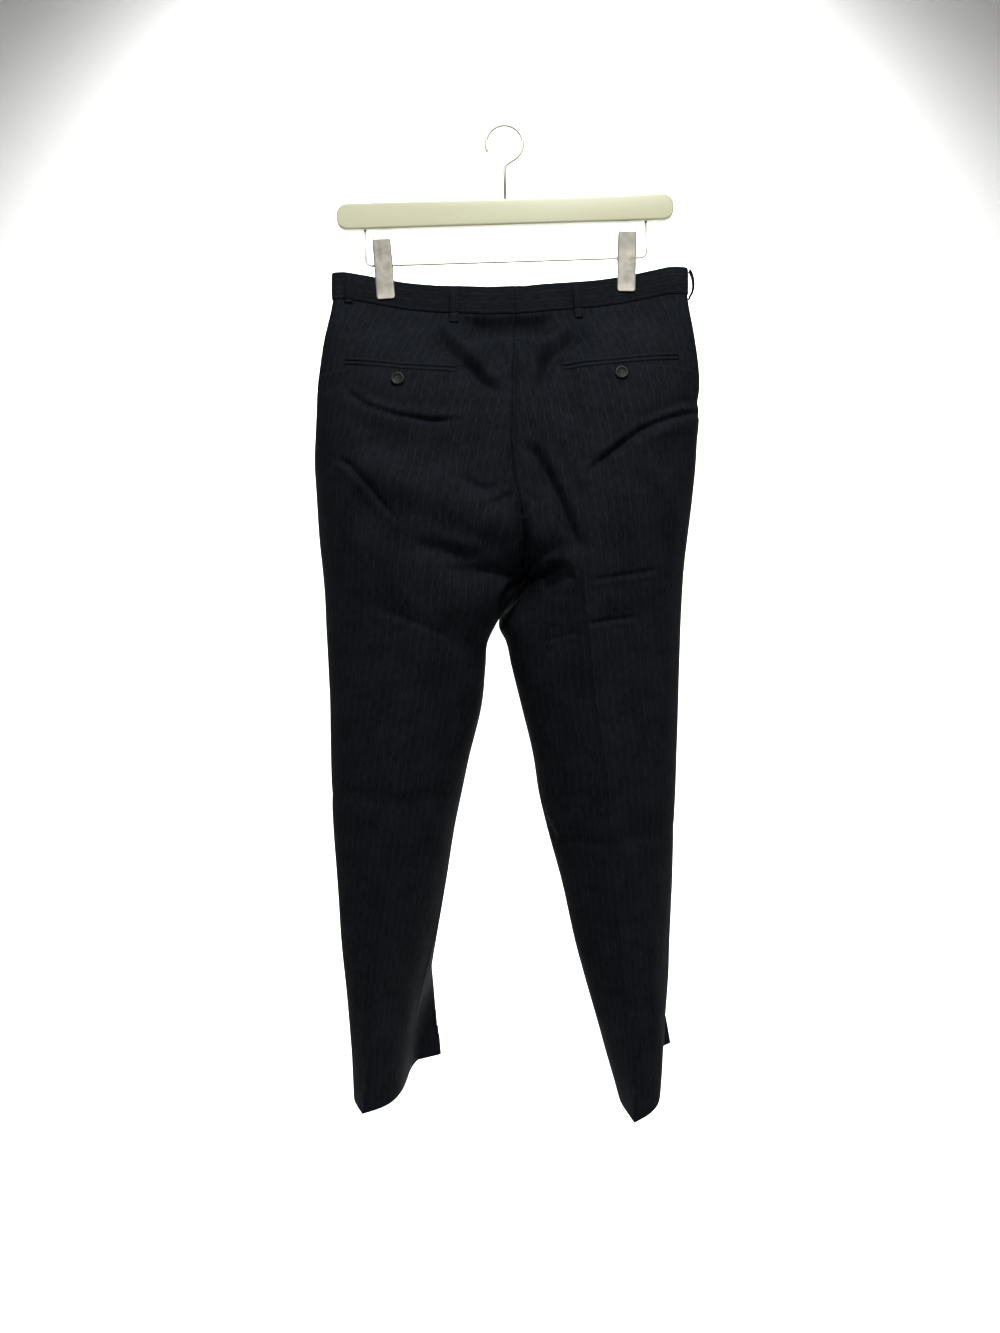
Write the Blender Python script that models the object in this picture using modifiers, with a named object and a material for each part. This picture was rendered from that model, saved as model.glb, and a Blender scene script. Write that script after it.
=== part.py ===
"""Pinstriped suit trousers hanging by the waistband from a straight clip hanger.

Metres, +Z up.  The origin is the inside top of the hanger's hook, where a rail holds it.
The wearer's back faces -Y, the front faces +Y, and the wearer's right leg is on +X.

The cloth of each half of the trousers runs from the centre-back seam round the hip to the
centre-front seam.  Below the fork of the crotch it closes into a leg at the inseam.  Every
level of a half is a curve through five places: the centre back (or inseam), the back crease,
the side seam, the front crease and the centre front (or inseam).  The tables below give these
places in millimetres, and the panels are walls lofted through the levels.
"""
import math

import bmesh
import bpy
import numpy as np
from mathutils import Matrix, Vector
from mathutils.bvhtree import BVHTree

MM = 0.001
NAME = "clip_hanger_trousers"

# ---------------------------------------------------------------- driving sizes, millimetres
SEAM_GAP = 0.3          # between two pieces at a seam
CLOTH = 1.4             # wall of a panel
BAND_PROUD = 0.8        # the waistband stands out from the panels
BAND_WALL = 2.2         # two layers and the interlining
BAND_HEIGHT = 32.0
TAB_LENGTH = 42.0       # the left waistband laps over the right at the centre front
TAB_PLACES = (0.1, 0.55, 1.0)
LIE_GAP = 1.0           # under a piece that lies on a panel

WAIST_SEAM = -206.0     # level of the waistband's lower seam, before its sag
SEAT = -430.0           # the seat seam starts to turn under here
FORK = -533.0           # the crotch point
HEM_START = -1000.0     # the hem's slant starts to show below this level
HEM = -1135.0
SAG_END = -300.0        # the waist's sag has faded out at this level

HANGER_TILT = math.radians(1.3)   # its end at +X hangs higher
BAR_LENGTH = 400.0
BAR_HEIGHT = 31.0
BAR_DEPTH = 13.0
BAR_CORNER = 12.5
BAR_EDGE = 2.5
BAR_CENTRE = -102.5
HOOK_WIRE = 4.0
HOOK_BEND = 22.0        # to the middle of the hook's wire
HOOK_SWING = 9.0        # radius of the bend between the shank and the eye
HOOK_EYE = (-62, 205)   # degrees, from the neck over the top to the tip
HOOK_SOCKET = 12.0      # depth of the shank in the bar
RAIL_WIRE = 3.0
RAIL_DROP = -160.5      # middle of the wire rail that carries the clips
RAIL_HALF = 167.0
RAIL_CORNER = 8.0
WIRE_SOCKET = 10.0
CLIP_WIDTH = 22.0
CLIP_PLATE = 1.2
CLIP_HOLE = 2.3         # radius of the hole that the rail passes through
CLIPS = (("left", -146.2, -2.6), ("right", 142.6, 2.5))   # name, place on the rail, lean in degrees

# Side view of a jaw about the rail, as depth and height: its face from the thumb rest down to the
# lip, its back with the flange that the rail passes through, and the hollow that is cut out.
JAW_FACE = ((-12.6, 28.5), (-9.6, 8.0), (-8.4, -6.0), (-5.6, -34.0), (-5.4, -41.0))
JAW_BACK = ((-4.2, -41.0), (-4.2, -11.5), (2.4, -5.6), (3.6, 0.0), (2.6, 5.0), (-5.0, 20.0), (-7.6, 28.5))
JAW_HOLLOW = ((-4.4, -35.0), (8.0, -20.0), (8.0, 33.0), (-12.0, 33.0))

POCKET_BUTTON = 15.0
# A button turned about its axis: radius, height.  A raised rim stands round a dished middle.
BUTTON_PROFILE = (
    (0.0, 2.0), (3.4, 2.0), (4.6, 2.2), (5.6, 3.0), (6.6, 3.0),
    (7.5, 2.2), (7.5, 1.2), (6.4, 0.2), (0.0, 0.2),
)
BUTTON_SIDES = 24
BUTTON_GAP = 0.5
WELT_HEIGHT = 5.0
WELT_WALL = 1.1
WELT_STEPS = 14
LOOP_WIDTH = 10.0
LOOP_WALL = 1.5
LOOP_ARCH = 3.1         # how far a loop stands off the cloth halfway
LOOP_STEPS = 9
LOOP_ROWS = 4

# The waistband's top edge as it sags between the clips: x, height.
WAIST_TOP = (
    (-206, -173.4), (-190, -173.5), (-163, -177.0), (-142, -180.5), (-120, -184.7),
    (-78, -189.8), (-21, -193.9), (21, -193.0), (64, -188.7), (107, -184.3),
    (142, -179.0), (164, -175.4), (192, -171.0), (216, -171.0),
)

# Centre seam above the fork: level, x, depth of the seat behind, depth of the lap in front.
CENTRE = (
    (-170, 10, -24, 24), (-206, 10, -26, 26), (-253, 9, -48, 45), (-301, 7, -70, 64),
    (-349, 6, -82, 76), (-400, 5, -88, 81), (-430, 7, -88, 81), (-450, 12, -88, 81),
    (-491, 18, -88, 81), (-533, 22, -88, 81),
)

# Inseam below the fork: level, left x y, right x y.  The left leg's cloth hangs over the right's
# just under the fork, so the left inseam lies nearer the back there.
INSEAM = (
    (-533, 21, 0, 23, 0), (-548, 13, -26, 10, 26), (-560, 7, -35, 2, 35), (-577, -5, -34, -8, 34),
    (-594, -16, -22, -11, 22), (-612, -25, -8, -3, 8), (-640, -28, 0, 3, 0), (-682, -32, 0, 13, 0),
    (-753, -49, 0, 29, 0), (-789, -57, 0, 34, 0), (-825, -65, 0, 42, 0), (-896, -78, 0, 61, 0),
    (-967, -93, 0, 77, 0), (-1039, -111, 4, 98, 4), (-1135, -126, 5, 130, 5),
)

# The rest of each level: level, back crease x y, side seam x y, front crease x y.
LEFT = (
    (-170, -143, -2.2, -204, 0, -143, 2.2), (-206, -143, -2.2, -206, 0, -143, 2.2),
    (-253, -128, -36, -216, 0, -128, 34), (-301, -112, -66, -223, 0, -112, 62),
    (-349, -104, -84, -226, 0, -106, 80), (-396, -98, -92, -228, 0, -104, 86),
    (-444, -92, -100, -226, 0, -104, 92), (-491, -85, -106, -224, 0, -106, 96),
    (-533, -83, -106, -220, 0, -108, 97), (-594, -88, -104, -217, 0, -112, 96),
    (-682, -103, -99, -213, 0, -116, 94), (-753, -117, -96, -212, 0, -118, 92),
    (-825, -128, -93, -209, 0, -116, 90), (-896, -138, -91, -203, 0, -110, 88),
    (-967, -149, -90, -197, 0, -104, 87), (-1039, -158, -90, -188, 0, -98, 87),
    (-1135, -169, -90, -178, 0, -91, 87),
)
RIGHT = (
    (-170, 144, -2.2, 214, 0, 144, 2.2), (-206, 144, -2.2, 216, 0, 144, 2.2),
    (-253, 130, -36, 224, 0, 130, 34), (-301, 114, -66, 229, 0, 114, 62),
    (-349, 104, -84, 227, 0, 104, 80), (-396, 96, -92, 225, 0, 104, 86),
    (-444, 90, -100, 220, 0, 106, 92), (-491, 84, -106, 214, 0, 108, 96),
    (-533, 84, -106, 209, 0, 110, 97), (-594, 90, -104, 205, 0, 115, 96),
    (-682, 97, -99, 201, 0, 122, 94), (-753, 108, -96, 198, 0, 130, 92),
    (-825, 113, -93, 195, 0, 140, 90), (-896, 118, -91, 192, 0, 152, 88),
    (-967, 124, -90, 188, 2, 166, 87), (-1039, 130, -90, 185, 4, 184, 87),
    (-1135, 135, -91, 176, 5, 200, 88),
)
HALVES = {"left": LEFT, "right": RIGHT}
HEM_SLANT = {"left": 6.0, "right": 18.0}    # the back crease hangs lower than the middle by this

# The largest folds: face, depth (a ridge is above nought), reach to each side, then the path
# as x and height from one end to the other.
FOLDS = (
    ("back", -5.0, 9, ((232, -330), (200, -343), (164, -362), (137, -383), (108, -407))),
    ("back", 4.5, 17, ((226, -350), (192, -362), (158, -382), (130, -408))),
    ("back", -4.5, 14, ((-70, -242), (-46, -275), (-20, -302), (-6, -312))),
    ("back", -3.5, 9, ((-188, -312), (-168, -328), (-139, -342), (-100, -347), (-56, -348))),
    ("back", 4.0, 14, ((-180, -335), (-140, -360), (-96, -368))),
    ("back", 6.5, 24, ((-185, -398), (-130, -428), (-85, -442), (-30, -462), (30, -488))),
    ("back", -5.5, 18, ((-160, -430), (-120, -462), (-70, -482), (-20, -502), (10, -520))),
    ("back", -4.5, 12, ((32, -372), (52, -412), (68, -462), (80, -500))),
    ("back", 4.0, 14, ((52, -372), (76, -412), (92, -450))),
    ("back", -5.0, 11, ((78, -508), (54, -511), (32, -522), (12, -540), (-8, -580))),
    ("back", -3.0, 12, ((96, -590), (130, -585), (160, -582))),
    ("back", -3.0, 13, ((-160, -570), (-120, -583), (-74, -600), (-54, -618))),
    ("back", -2.5, 9, ((-205, -790), (-150, -793), (-72, -792))),
    ("back", -2.5, 9, ((50, -835), (100, -842), (188, -836))),
    ("front", -4.0, 14, ((150, -232), (112, -290), (70, -360), (34, -430))),
    ("front", -4.0, 14, ((-150, -236), (-116, -300), (-66, -376), (-20, -440))),
    ("front", -5.0, 15, ((-96, -470), (-50, -482), (-12, -500))),
    ("front", -4.5, 13, ((118, -486), (80, -484), (44, -496))),
    ("front", 4.0, 18, ((-150, -410), (-104, -436), (-60, -448))),
    ("front", 4.0, 18, ((160, -420), (120, -440), (74, -452))),
    ("front", -3.0, 12, ((-186, -560), (-140, -572), (-96, -574))),
    ("front", -3.0, 12, ((90, -580), (140, -590), (180, -584))),
)

# The levels of a panel: from, to, number of steps.
LEVELS = (
    (WAIST_SEAM, -300.0, 7), (-300.0, SEAT, 8), (SEAT, FORK, 8),
    (FORK, -620.0, 6), (-620.0, -790.0, 6), (-790.0, HEM, 9),
)
BAND_STEPS = 2
STEPS = 6               # columns between two of the five places on a level

# Belt loops: name, face, x at the top and at the lower end, lengths above and below the seam.
LOOPS = (
    ("loop_back_left", "back", -61, -61, 27, 12), ("loop_back_right", "back", 83, 86, 27, 12),
    ("loop_side_left", "back", -184, -186, 29, 4), ("loop_side_right", "side", -3, -3, 30, 5),
    ("loop_front_left", "front", -82, -82, 27, 12), ("loop_front_right", "front", 96, 96, 27, 12),
)

# Back pocket mouths, the line between the two welts: outer end, middle, inner end as x, height.
POCKETS = {
    "left": ((-188, -286.5), (-121, -297.5), (-57, -302.5)),
    "right": ((200, -283.5), (131, -292.5), (64, -299.5)),
}
BUTTONS = {"left": (-123.5, -316), "right": (130, -310.5)}
FRONT_POCKETS = {"left": ((-158, -216), (-198, -372)), "right": ((164, -214), (200, -372))}
FRONT_POCKET_WIDTH = 5.0
FLY_START = 3.0         # below the waist seam
FLY_LENGTH = 172.0
FLY_WIDTH = 38.0
FLY_LAP = 4.0           # past the centre-front seam
FLY_CURVE = 0.28        # share of its length over which its edge turns in to the seam
FLY_WALL = 1.2
FLY_STEPS = 14
FLY_COLUMNS = 4

COLOURS = {             # base colour, roughness, metallic
    "worsted": ((0.010, 0.011, 0.017), 0.85, 0.0),
    "horn": ((0.035, 0.034, 0.036), 0.35, 0.0),
    "lacquer": ((0.72, 0.70, 0.52), 0.35, 0.0),
    "satin_metal": ((0.55, 0.52, 0.46), 0.35, 1.0),
}


# ---------------------------------------------------------------- helpers
def material(name):
    """A Principled material in one of the four finishes."""
    found = bpy.data.materials.get(name)
    if found:
        return found
    colour, roughness, metallic = COLOURS[name]
    made = bpy.data.materials.new(name)
    made.use_nodes = True
    shader = made.node_tree.nodes["Principled BSDF"]
    shader.inputs["Base Color"].default_value = (*colour, 1.0)
    shader.inputs["Roughness"].default_value = roughness
    shader.inputs["Metallic"].default_value = metallic
    made.diffuse_color = (*colour, 1.0)
    return made


def add_object(name, data, finish, collection="parts"):
    """Links a mesh or curve as a named object with its finish."""
    thing = bpy.data.objects.new(name, data)
    COLLECTIONS[collection].objects.link(thing)
    data.materials.append(material(finish))
    return thing


def mesh_object(name, bm, finish, collection="parts"):
    """A named object from a closed bmesh, its faces turned outwards."""
    bmesh.ops.recalc_face_normals(bm, faces=bm.faces)
    if bm.calc_volume(signed=True) < 0.0:
        bmesh.ops.reverse_faces(bm, faces=bm.faces)
    mesh = bpy.data.meshes.new(name)
    bm.to_mesh(mesh)
    bm.free()
    mesh.shade_smooth()
    mesh.set_sharp_from_angle(angle=math.radians(40))
    return add_object(name, mesh, finish, collection)


def fade(value, start, end):
    """Nought before start, one after end, with a smooth ramp between them."""
    share = np.clip((np.asarray(value, float) - start) / (end - start), 0.0, 1.0)
    return share * share * (3.0 - 2.0 * share)


def along(rows, column, level):
    """A column of a table read smoothly between its rows, which go down in level."""
    knots = np.array([-row[0] for row in rows], float)
    values = np.array([row[column] for row in rows], float)
    slopes = np.gradient(values, knots)
    at = np.clip(-np.asarray(level, float), knots[0], knots[-1])
    index = np.clip(np.searchsorted(knots, at, side="right") - 1, 0, len(knots) - 2)
    span = knots[index + 1] - knots[index]
    s = (at - knots[index]) / span
    return (values[index] * (1 + 2 * s) * (1 - s) ** 2 + slopes[index] * span * s * (1 - s) ** 2
            + values[index + 1] * s * s * (3 - 2 * s) + slopes[index + 1] * span * s * s * (s - 1))


def unit(vectors):
    return vectors / np.maximum(np.linalg.norm(vectors, axis=-1, keepdims=True), 1e-9)


def turn(start, lead, arrive, end, share):
    """A cubic curve from start to end with two handles, at a share of its length."""
    dense = np.linspace(0.0, 1.0, CURVE_POINTS)[:, None]
    curve = (start * (1 - dense) ** 3 + 3 * lead * dense * (1 - dense) ** 2
             + 3 * arrive * dense ** 2 * (1 - dense) + end * dense ** 3)
    run = np.concatenate([[0.0], np.cumsum(np.linalg.norm(np.diff(curve, axis=0), axis=1))])
    at = np.asarray(share) * run[-1]
    return np.stack([np.interp(at, run, curve[:, axis]) for axis in (0, 1)], axis=-1)


# ---------------------------------------------------------------- the cloth's form
HANDLE = 0.40           # length of a curve's handle as a share of its chord
WAIST_HANDLE = 0.75     # the side's handle is this much shorter near the waist
CURVE_POINTS = 33       # points that a curve's length is measured with
CLEFT_REACH = 8.0       # below the fork, where the curves have turned in to the inseam
LEG_DEPTH = 90.0        # from the middle of a leg to its crease, at the hem
CREASE_FROM = {"back": (-480.0, -700.0), "front": (-300.0, -620.0)}   # where a crease grows sharp


def places(half, level):
    """The five places of a half at a level: centre back, back crease, side, front crease, front."""
    rows = HALVES[half]
    back, side, front = (
        np.array([along(rows, column, level), along(rows, column + 1, level)]) for column in (1, 3, 5))
    outward = -1.0 if half == "left" else 1.0
    if level > FORK:
        turned = fade(SEAT - level, 0.0, SEAT - FORK)
        under = math.sqrt(max(0.0, 1.0 - (max(0.0, SEAT - level) / (SEAT - FORK)) ** 2))
        x = along(CENTRE, 1, level) + outward * (SEAM_GAP / 2 + turned)
        centre_back = np.array([x, along(CENTRE, 2, level) * under])
        centre_front = np.array([x, along(CENTRE, 3, level) * under])
    else:
        column = 1 if half == "left" else 3
        centre_back = np.array([along(INSEAM, column, level), along(INSEAM, column + 1, level)])
        centre_front = centre_back.copy()
    return centre_back, back, side, front, centre_front


def level_curve(half, level, steps=STEPS):
    """Points round one level of a half, from the centre back to the centre front."""
    centre_back, back, side, front, centre_front = places(half, level)
    outward = np.array([-1.0, 0.0]) if half == "left" else np.array([1.0, 0.0])
    forward = unit(front - back)
    cleft = float(fade(-level, -SEAT, -FORK - CLEFT_REACH))
    share = np.linspace(0.0, 1.0, steps + 1)
    parts = []
    for centre, crease, towards, kind in (
            (centre_back, back, -forward, "back"), (centre_front, front, forward, "front")):
        sharp = float(fade(-level, *(-limit for limit in CREASE_FROM[kind])))
        across = np.array([forward[1], -forward[0]])
        across = across if across @ outward > 0 else -across
        inner = HANDLE * np.linalg.norm(crease - centre)
        outer = HANDLE * np.linalg.norm(crease - side)
        lead = centre + inner * unit((1 - cleft) * outward + cleft * towards)
        wing = side + outer * towards * (WAIST_HANDLE if level > SAG_END else 1.0)
        arrive = crease + inner * unit((1 - sharp) * -across + sharp * unit(lead - crease))
        leave = crease + outer * unit((1 - sharp) * across + sharp * unit(wing - crease))
        to_crease = turn(centre, lead, arrive, crease, share)
        to_side = turn(crease, leave, wing, side, share)
        parts.append(np.concatenate([to_crease, to_side[1:]]))
    return np.concatenate([parts[0], parts[1][::-1][1:]])


def waist_top(x):
    return np.interp(x, [row[0] for row in WAIST_TOP], [row[1] for row in WAIST_TOP])


def hang(half, level, curve):
    """Heights of a level's points: the waist sags between the clips and the hem slants."""
    sag = fade(level, SAG_END, WAIST_SEAM) * (waist_top(curve[:, 0]) - BAND_HEIGHT - WAIST_SEAM)
    slant = fade(-level, -HEM_START, -HEM) * HEM_SLANT[half] * curve[:, 1] / LEG_DEPTH
    return level + sag + slant


def distance_to(path, x, z):
    """Distance to a fold's path, and the share of the fold's depth that is left near its ends."""
    path = np.array(path, float)
    best = np.full(x.shape, 1e9)
    best_run = np.zeros(x.shape)
    lengths = np.linalg.norm(np.diff(path, axis=0), axis=1)
    travelled = 0.0
    for start, end, length in zip(path[:-1], path[1:], lengths):
        direction = (end - start) / length
        run = np.clip((x - start[0]) * direction[0] + (z - start[1]) * direction[1], 0.0, length)
        away = np.hypot(x - start[0] - direction[0] * run, z - start[1] - direction[1] * run)
        nearer = away < best
        best = np.where(nearer, away, best)
        best_run = np.where(nearer, travelled + run, best_run)
        travelled += length
    tail = np.minimum(best_run, travelled - best_run) / travelled
    return best, 0.35 + 0.65 * fade(tail, 0.0, 0.22)


def fold_height(points, around, closed):
    """How far the folds lift the cloth at each point; around runs from 0 at the back to 1."""
    x, z = points[..., 0], points[..., 2]
    lift = np.zeros(x.shape)
    weight = {"back": 1.0 - fade(around, 0.5, 0.56), "front": fade(around, 0.5, 0.56)}
    at_inseam = fade(np.minimum(around, 1.0 - around), 0.0, 0.07)
    for face, depth, reach, path in FOLDS:
        away, end = distance_to(path, x, z)
        lift += depth * end * np.exp(-(away / reach) ** 2) * weight[face]
    return np.where(closed[:, None], lift * at_inseam, lift)


def normals(grids, closed):
    """Outward normals of both halves; neighbours are taken across the seams."""
    made = {}
    for half, other in (("left", "right"), ("right", "left")):
        own, far = grids[half], grids[other]
        before = np.where(closed[:, None], own[:, -2], far[:, 1])
        after = np.where(closed[:, None], own[:, 1], far[:, -2])
        wide = np.concatenate([before[:, None], own, after[:, None]], axis=1)
        across = wide[:, 2:] - wide[:, :-2]
        down = np.gradient(own, axis=0)
        normal = unit(np.cross(across, down) if half == "left" else np.cross(down, across))
        shared = unit(normal[:, 0] + normal[:, -1])
        normal[closed, 0] = shared[closed]
        normal[closed, -1] = shared[closed]
        made[half] = normal
    return made


def cloth_form(levels):
    """Outer points and normals of both halves over a list of levels, folds included."""
    closed = np.array([level <= FORK for level in levels])
    around = np.linspace(0.0, 1.0, 4 * STEPS + 1)[None, :]
    grids = {}
    for half in HALVES:
        rows = []
        for level in levels:
            curve = level_curve(half, level)
            rows.append(np.column_stack([curve, hang(half, level, curve)]))
        grids[half] = np.array(rows)
    plain = normals(grids, closed)
    for half, grid in grids.items():
        grids[half] = grid + plain[half] * fold_height(grid, around, closed)[..., None]
    return grids, normals(grids, closed)


def panel_levels():
    spans = [np.linspace(start, end, count + 1)[:-1] for start, end, count in LEVELS]
    return np.concatenate(spans + [[HEM]])


# ---------------------------------------------------------------- cloth pieces
def wall(name, outer, inner):
    """A closed wall of cloth between an outer and an inner grid of points in millimetres."""
    rows, columns = outer.shape[:2]
    bm = bmesh.new()
    bmesh.ops.create_grid(bm, x_segments=columns - 1, y_segments=rows - 1, size=0.5)
    extruded = bmesh.ops.extrude_face_region(bm, geom=bm.faces[:])
    raised = {item for item in extruded["geom"] if isinstance(item, bmesh.types.BMVert)}
    for vert in bm.verts:
        column = round((vert.co.x + 0.5) * (columns - 1))
        row = round((vert.co.y + 0.5) * (rows - 1))
        grid = outer if vert in raised else inner
        vert.co = Vector(grid[row, column]) * MM
    return mesh_object(name, bm, "worsted")


def part_at_edges(grid, first, last):
    """Draws the edge columns of a panel back from its seams by half a seam gap."""
    grid = grid.copy()
    if first:
        grid[:, 0] += unit(grid[:, 1] - grid[:, 0]) * SEAM_GAP / 2
    if last:
        grid[:, -1] += unit(grid[:, -2] - grid[:, -1]) * SEAM_GAP / 2
    return grid


def make_panels(grids, outward):
    for half in HALVES:
        for face, columns in (("back", slice(0, 2 * STEPS + 1)), ("front", slice(2 * STEPS, None))):
            outer = part_at_edges(grids[half][:, columns], True, True)
            inner = outer - outward[half][:, columns] * CLOTH
            outer[0, :, 2] -= SEAM_GAP
            inner[0, :, 2] -= SEAM_GAP
            wall(face + "_" + half, outer, inner)


def make_waistband(grids, outward):
    """Each half of the band follows its panels' top edge; the left one laps over the right."""
    share = np.linspace(0.0, 1.0, BAND_STEPS + 1)[:, None]
    for half in HALVES:
        edge, normal = grids[half][0].copy(), outward[half][0].copy()
        normal[:, 2] = 0.0
        normal = unit(normal)
        if half == "left":
            far_edge = grids["right"][0][::-1]
            far_normal = outward["right"][0][::-1].copy()
            far_normal[:, 2] = 0.0
            run = np.linalg.norm(far_edge - far_edge[0], axis=1)
            reach = TAB_LENGTH * np.array(TAB_PLACES)
            tab = np.stack([np.interp(reach, run, far_edge[:, axis]) for axis in range(3)], axis=-1)
            edge = np.concatenate([edge, tab])
            normal = np.concatenate([normal, np.repeat(unit(far_normal)[:1], len(tab), axis=0)])
        proud = np.full(len(edge), BAND_PROUD)
        if half == "left":
            proud[-len(tab) - 1:] += BAND_WALL + 2 * SEAM_GAP
        height = waist_top(edge[:, 0]) - edge[:, 2]
        outer = edge + normal * proud[:, None]
        outer = outer[None] + np.array([0.0, 0.0, 1.0]) * (height[None] * share)[..., None]
        outer = part_at_edges(outer, True, half == "right")
        inner = outer - normal[None] * BAND_WALL
        wall("waistband_" + half, outer, inner)


class Surface:
    """The outside of pieces already made, read by a straight line of sight."""

    SIGHT = {"back": Vector((0, 1, 0)), "front": Vector((0, -1, 0)), "side": Vector((-1, 0, 0))}

    def __init__(self, *names):
        bm = bmesh.new()
        for name in names:
            bm.from_mesh(bpy.data.objects[name].data)
        self.tree = BVHTree.FromBMesh(bm)
        bm.free()

    def at(self, face, x, z):
        """Point and outward normal in millimetres; on a side face the first number is y.

        A sight line just above and just below finds the cloth beside an open seam.
        """
        sight = self.SIGHT[face]
        nearest = None
        for step in (0.0, 2 * SEAM_GAP, -2 * SEAM_GAP):
            height = z + step
            start = Vector((0, x, height)) if face == "side" else Vector((x, 0, height))
            hit, normal, _, reach = self.tree.ray_cast(start * MM - sight, sight)
            if hit is not None and (nearest is None or reach < nearest[2] - 5 * SEAM_GAP * MM):
                nearest = (hit, normal, reach)
        if nearest is None:
            raise ValueError("nothing under " + face + str((x, z)))
        hit, normal, _ = nearest
        normal = normal if normal.dot(sight) < 0 else -normal
        point = np.array(hit) / MM
        point[2] = z
        return point, np.array((normal * 0.5 - sight * 0.5).normalized())


def lying_piece(name, surface, face, spots, thickness):
    """A piece that lies on the cloth: a grid of spots, each lifted off it by the lying gap."""
    rows, columns = spots.shape[:2]
    inner, outer = np.zeros((rows, columns, 3)), np.zeros((rows, columns, 3))
    for row in range(rows):
        for column in range(columns):
            point, normal = surface.at(face, *spots[row, column])
            inner[row, column] = point + normal * LIE_GAP
            outer[row, column] = point + normal * (LIE_GAP + thickness)
    return wall(name, outer, inner)


def strip_spots(path, width, count, rows=1, shift=0.0):
    """A grid of spots along a path, from one edge of a strip to the other."""
    path = np.array(path, float)
    run = np.concatenate([[0.0], np.cumsum(np.linalg.norm(np.diff(path, axis=0), axis=1))])
    at = np.linspace(0.0, run[-1], count + 1)
    line = np.stack([np.interp(at, run, path[:, axis]) for axis in (0, 1)], axis=-1)
    heading = unit(np.gradient(line, axis=0))
    side = np.stack([-heading[:, 1], heading[:, 0]], axis=-1)
    offsets = np.linspace(-width / 2, width / 2, rows + 1) + shift
    return line[None] + side[None] * offsets[:, None, None]


def make_pockets(surface):
    for half, mouth in POCKETS.items():
        for edge, sign in (("upper", 1.0), ("lower", -1.0)):
            name = "pocket_" + half + "_" + edge + "_welt"
            upward = sign if half == "left" else -sign
            shift = upward * (WELT_HEIGHT + SEAM_GAP) / 2
            spots = strip_spots(mouth, WELT_HEIGHT, WELT_STEPS, shift=shift)
            lying_piece(name, surface, "back", spots, WELT_WALL)


def make_loops(surface):
    """Each loop is a straight strip that stands off the cloth between its sewn ends."""
    for name, face, top_x, low_x, above, below in LOOPS:
        middle = (top_x + low_x) / 2
        seam = waist_top(216.0 if face == "side" else middle) - BAND_HEIGHT
        path = ((top_x, seam + above), (low_x, seam - below))
        spots = strip_spots(path, LOOP_WIDTH, LOOP_STEPS, rows=LOOP_ROWS)
        outward = -np.array(Surface.SIGHT[face])
        hits = np.array([[surface.at(face, *spot)[0] for spot in row] for row in spots])
        reach = hits @ outward
        arch = np.sin(np.linspace(0.0, math.pi, spots.shape[1])) ** 0.7
        stand = reach.max(axis=0) + LIE_GAP + (LOOP_ARCH - LIE_GAP) * arch
        inner = hits[[0, -1]] + outward * (stand[None] - reach[[0, -1]])[..., None]
        wall(name, inner + outward * LOOP_WALL, inner)


def make_front_details(surface):
    """The slant pockets' edges, and the fly's lap whose lower edge curves in to the seam."""
    for half, path in FRONT_POCKETS.items():
        spots = strip_spots(path, FRONT_POCKET_WIDTH, WELT_STEPS)
        lying_piece("front_pocket_" + half, surface, "front", spots, WELT_WALL)
    top = waist_top(0.0) - BAND_HEIGHT - FLY_START
    spots = np.zeros((FLY_STEPS + 1, FLY_COLUMNS + 1, 2))
    for row, share in enumerate(np.linspace(0.0, 1.0, FLY_STEPS + 1)):
        level = top - FLY_LENGTH * share
        centre = along(CENTRE, 1, level)
        turned = max(0.0, (share - 1.0 + FLY_CURVE) / FLY_CURVE)
        width = FLY_WIDTH * math.sqrt(max(0.02, 1.0 - turned ** 2))
        spots[row, :, 0] = np.linspace(centre + FLY_LAP, centre - width, FLY_COLUMNS + 1)
        spots[row, :, 1] = level
    lying_piece("fly_lap", surface, "front", spots, FLY_WALL)


def make_button(name, point, normal):
    """A turned blank set on a point of the cloth, facing along the normal."""
    bm = bmesh.new()
    verts = [bm.verts.new((r * MM, 0.0, h * MM)) for r, h in BUTTON_PROFILE]
    for first, second in zip(verts[:-1], verts[1:]):
        bm.edges.new((first, second))
    bmesh.ops.spin(bm, geom=bm.verts[:] + bm.edges[:], cent=(0, 0, 0), axis=(0, 0, 1),
                   angle=2 * math.pi, steps=BUTTON_SIDES, use_merge=True)
    bmesh.ops.remove_doubles(bm, verts=bm.verts, dist=1e-6)
    turned = Vector(normal).to_track_quat("Z", "Y").to_matrix().to_4x4()
    bmesh.ops.transform(bm, matrix=Matrix.Translation(Vector(point) * MM) @ turned, verts=bm.verts)
    mesh_object(name, bm, "horn")


def make_buttons(surface):
    for half, (x, z) in BUTTONS.items():
        under = POCKET_BUTTON / 2 - 1.5
        ring = [(x + under * math.cos(turned), z + under * math.sin(turned))
                for turned in np.linspace(0, 2 * math.pi, 9)[:-1]]
        hits = [surface.at("back", *spot) for spot in ring]
        normal = unit(np.mean([hit[1] for hit in hits], axis=0))
        centre, _ = surface.at("back", x, z)
        proud = max(0.0, max((hit[0] - centre) @ normal for hit in hits))
        make_button("pocket_button_" + half, centre + normal * (proud + BUTTON_GAP), normal)


# ---------------------------------------------------------------- the hanger
TILT = (Matrix.Translation((0, 0, BAR_CENTRE * MM)) @ Matrix.Rotation(-HANGER_TILT, 4, "Y")
        @ Matrix.Translation((0, 0, -BAR_CENTRE * MM)))


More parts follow.
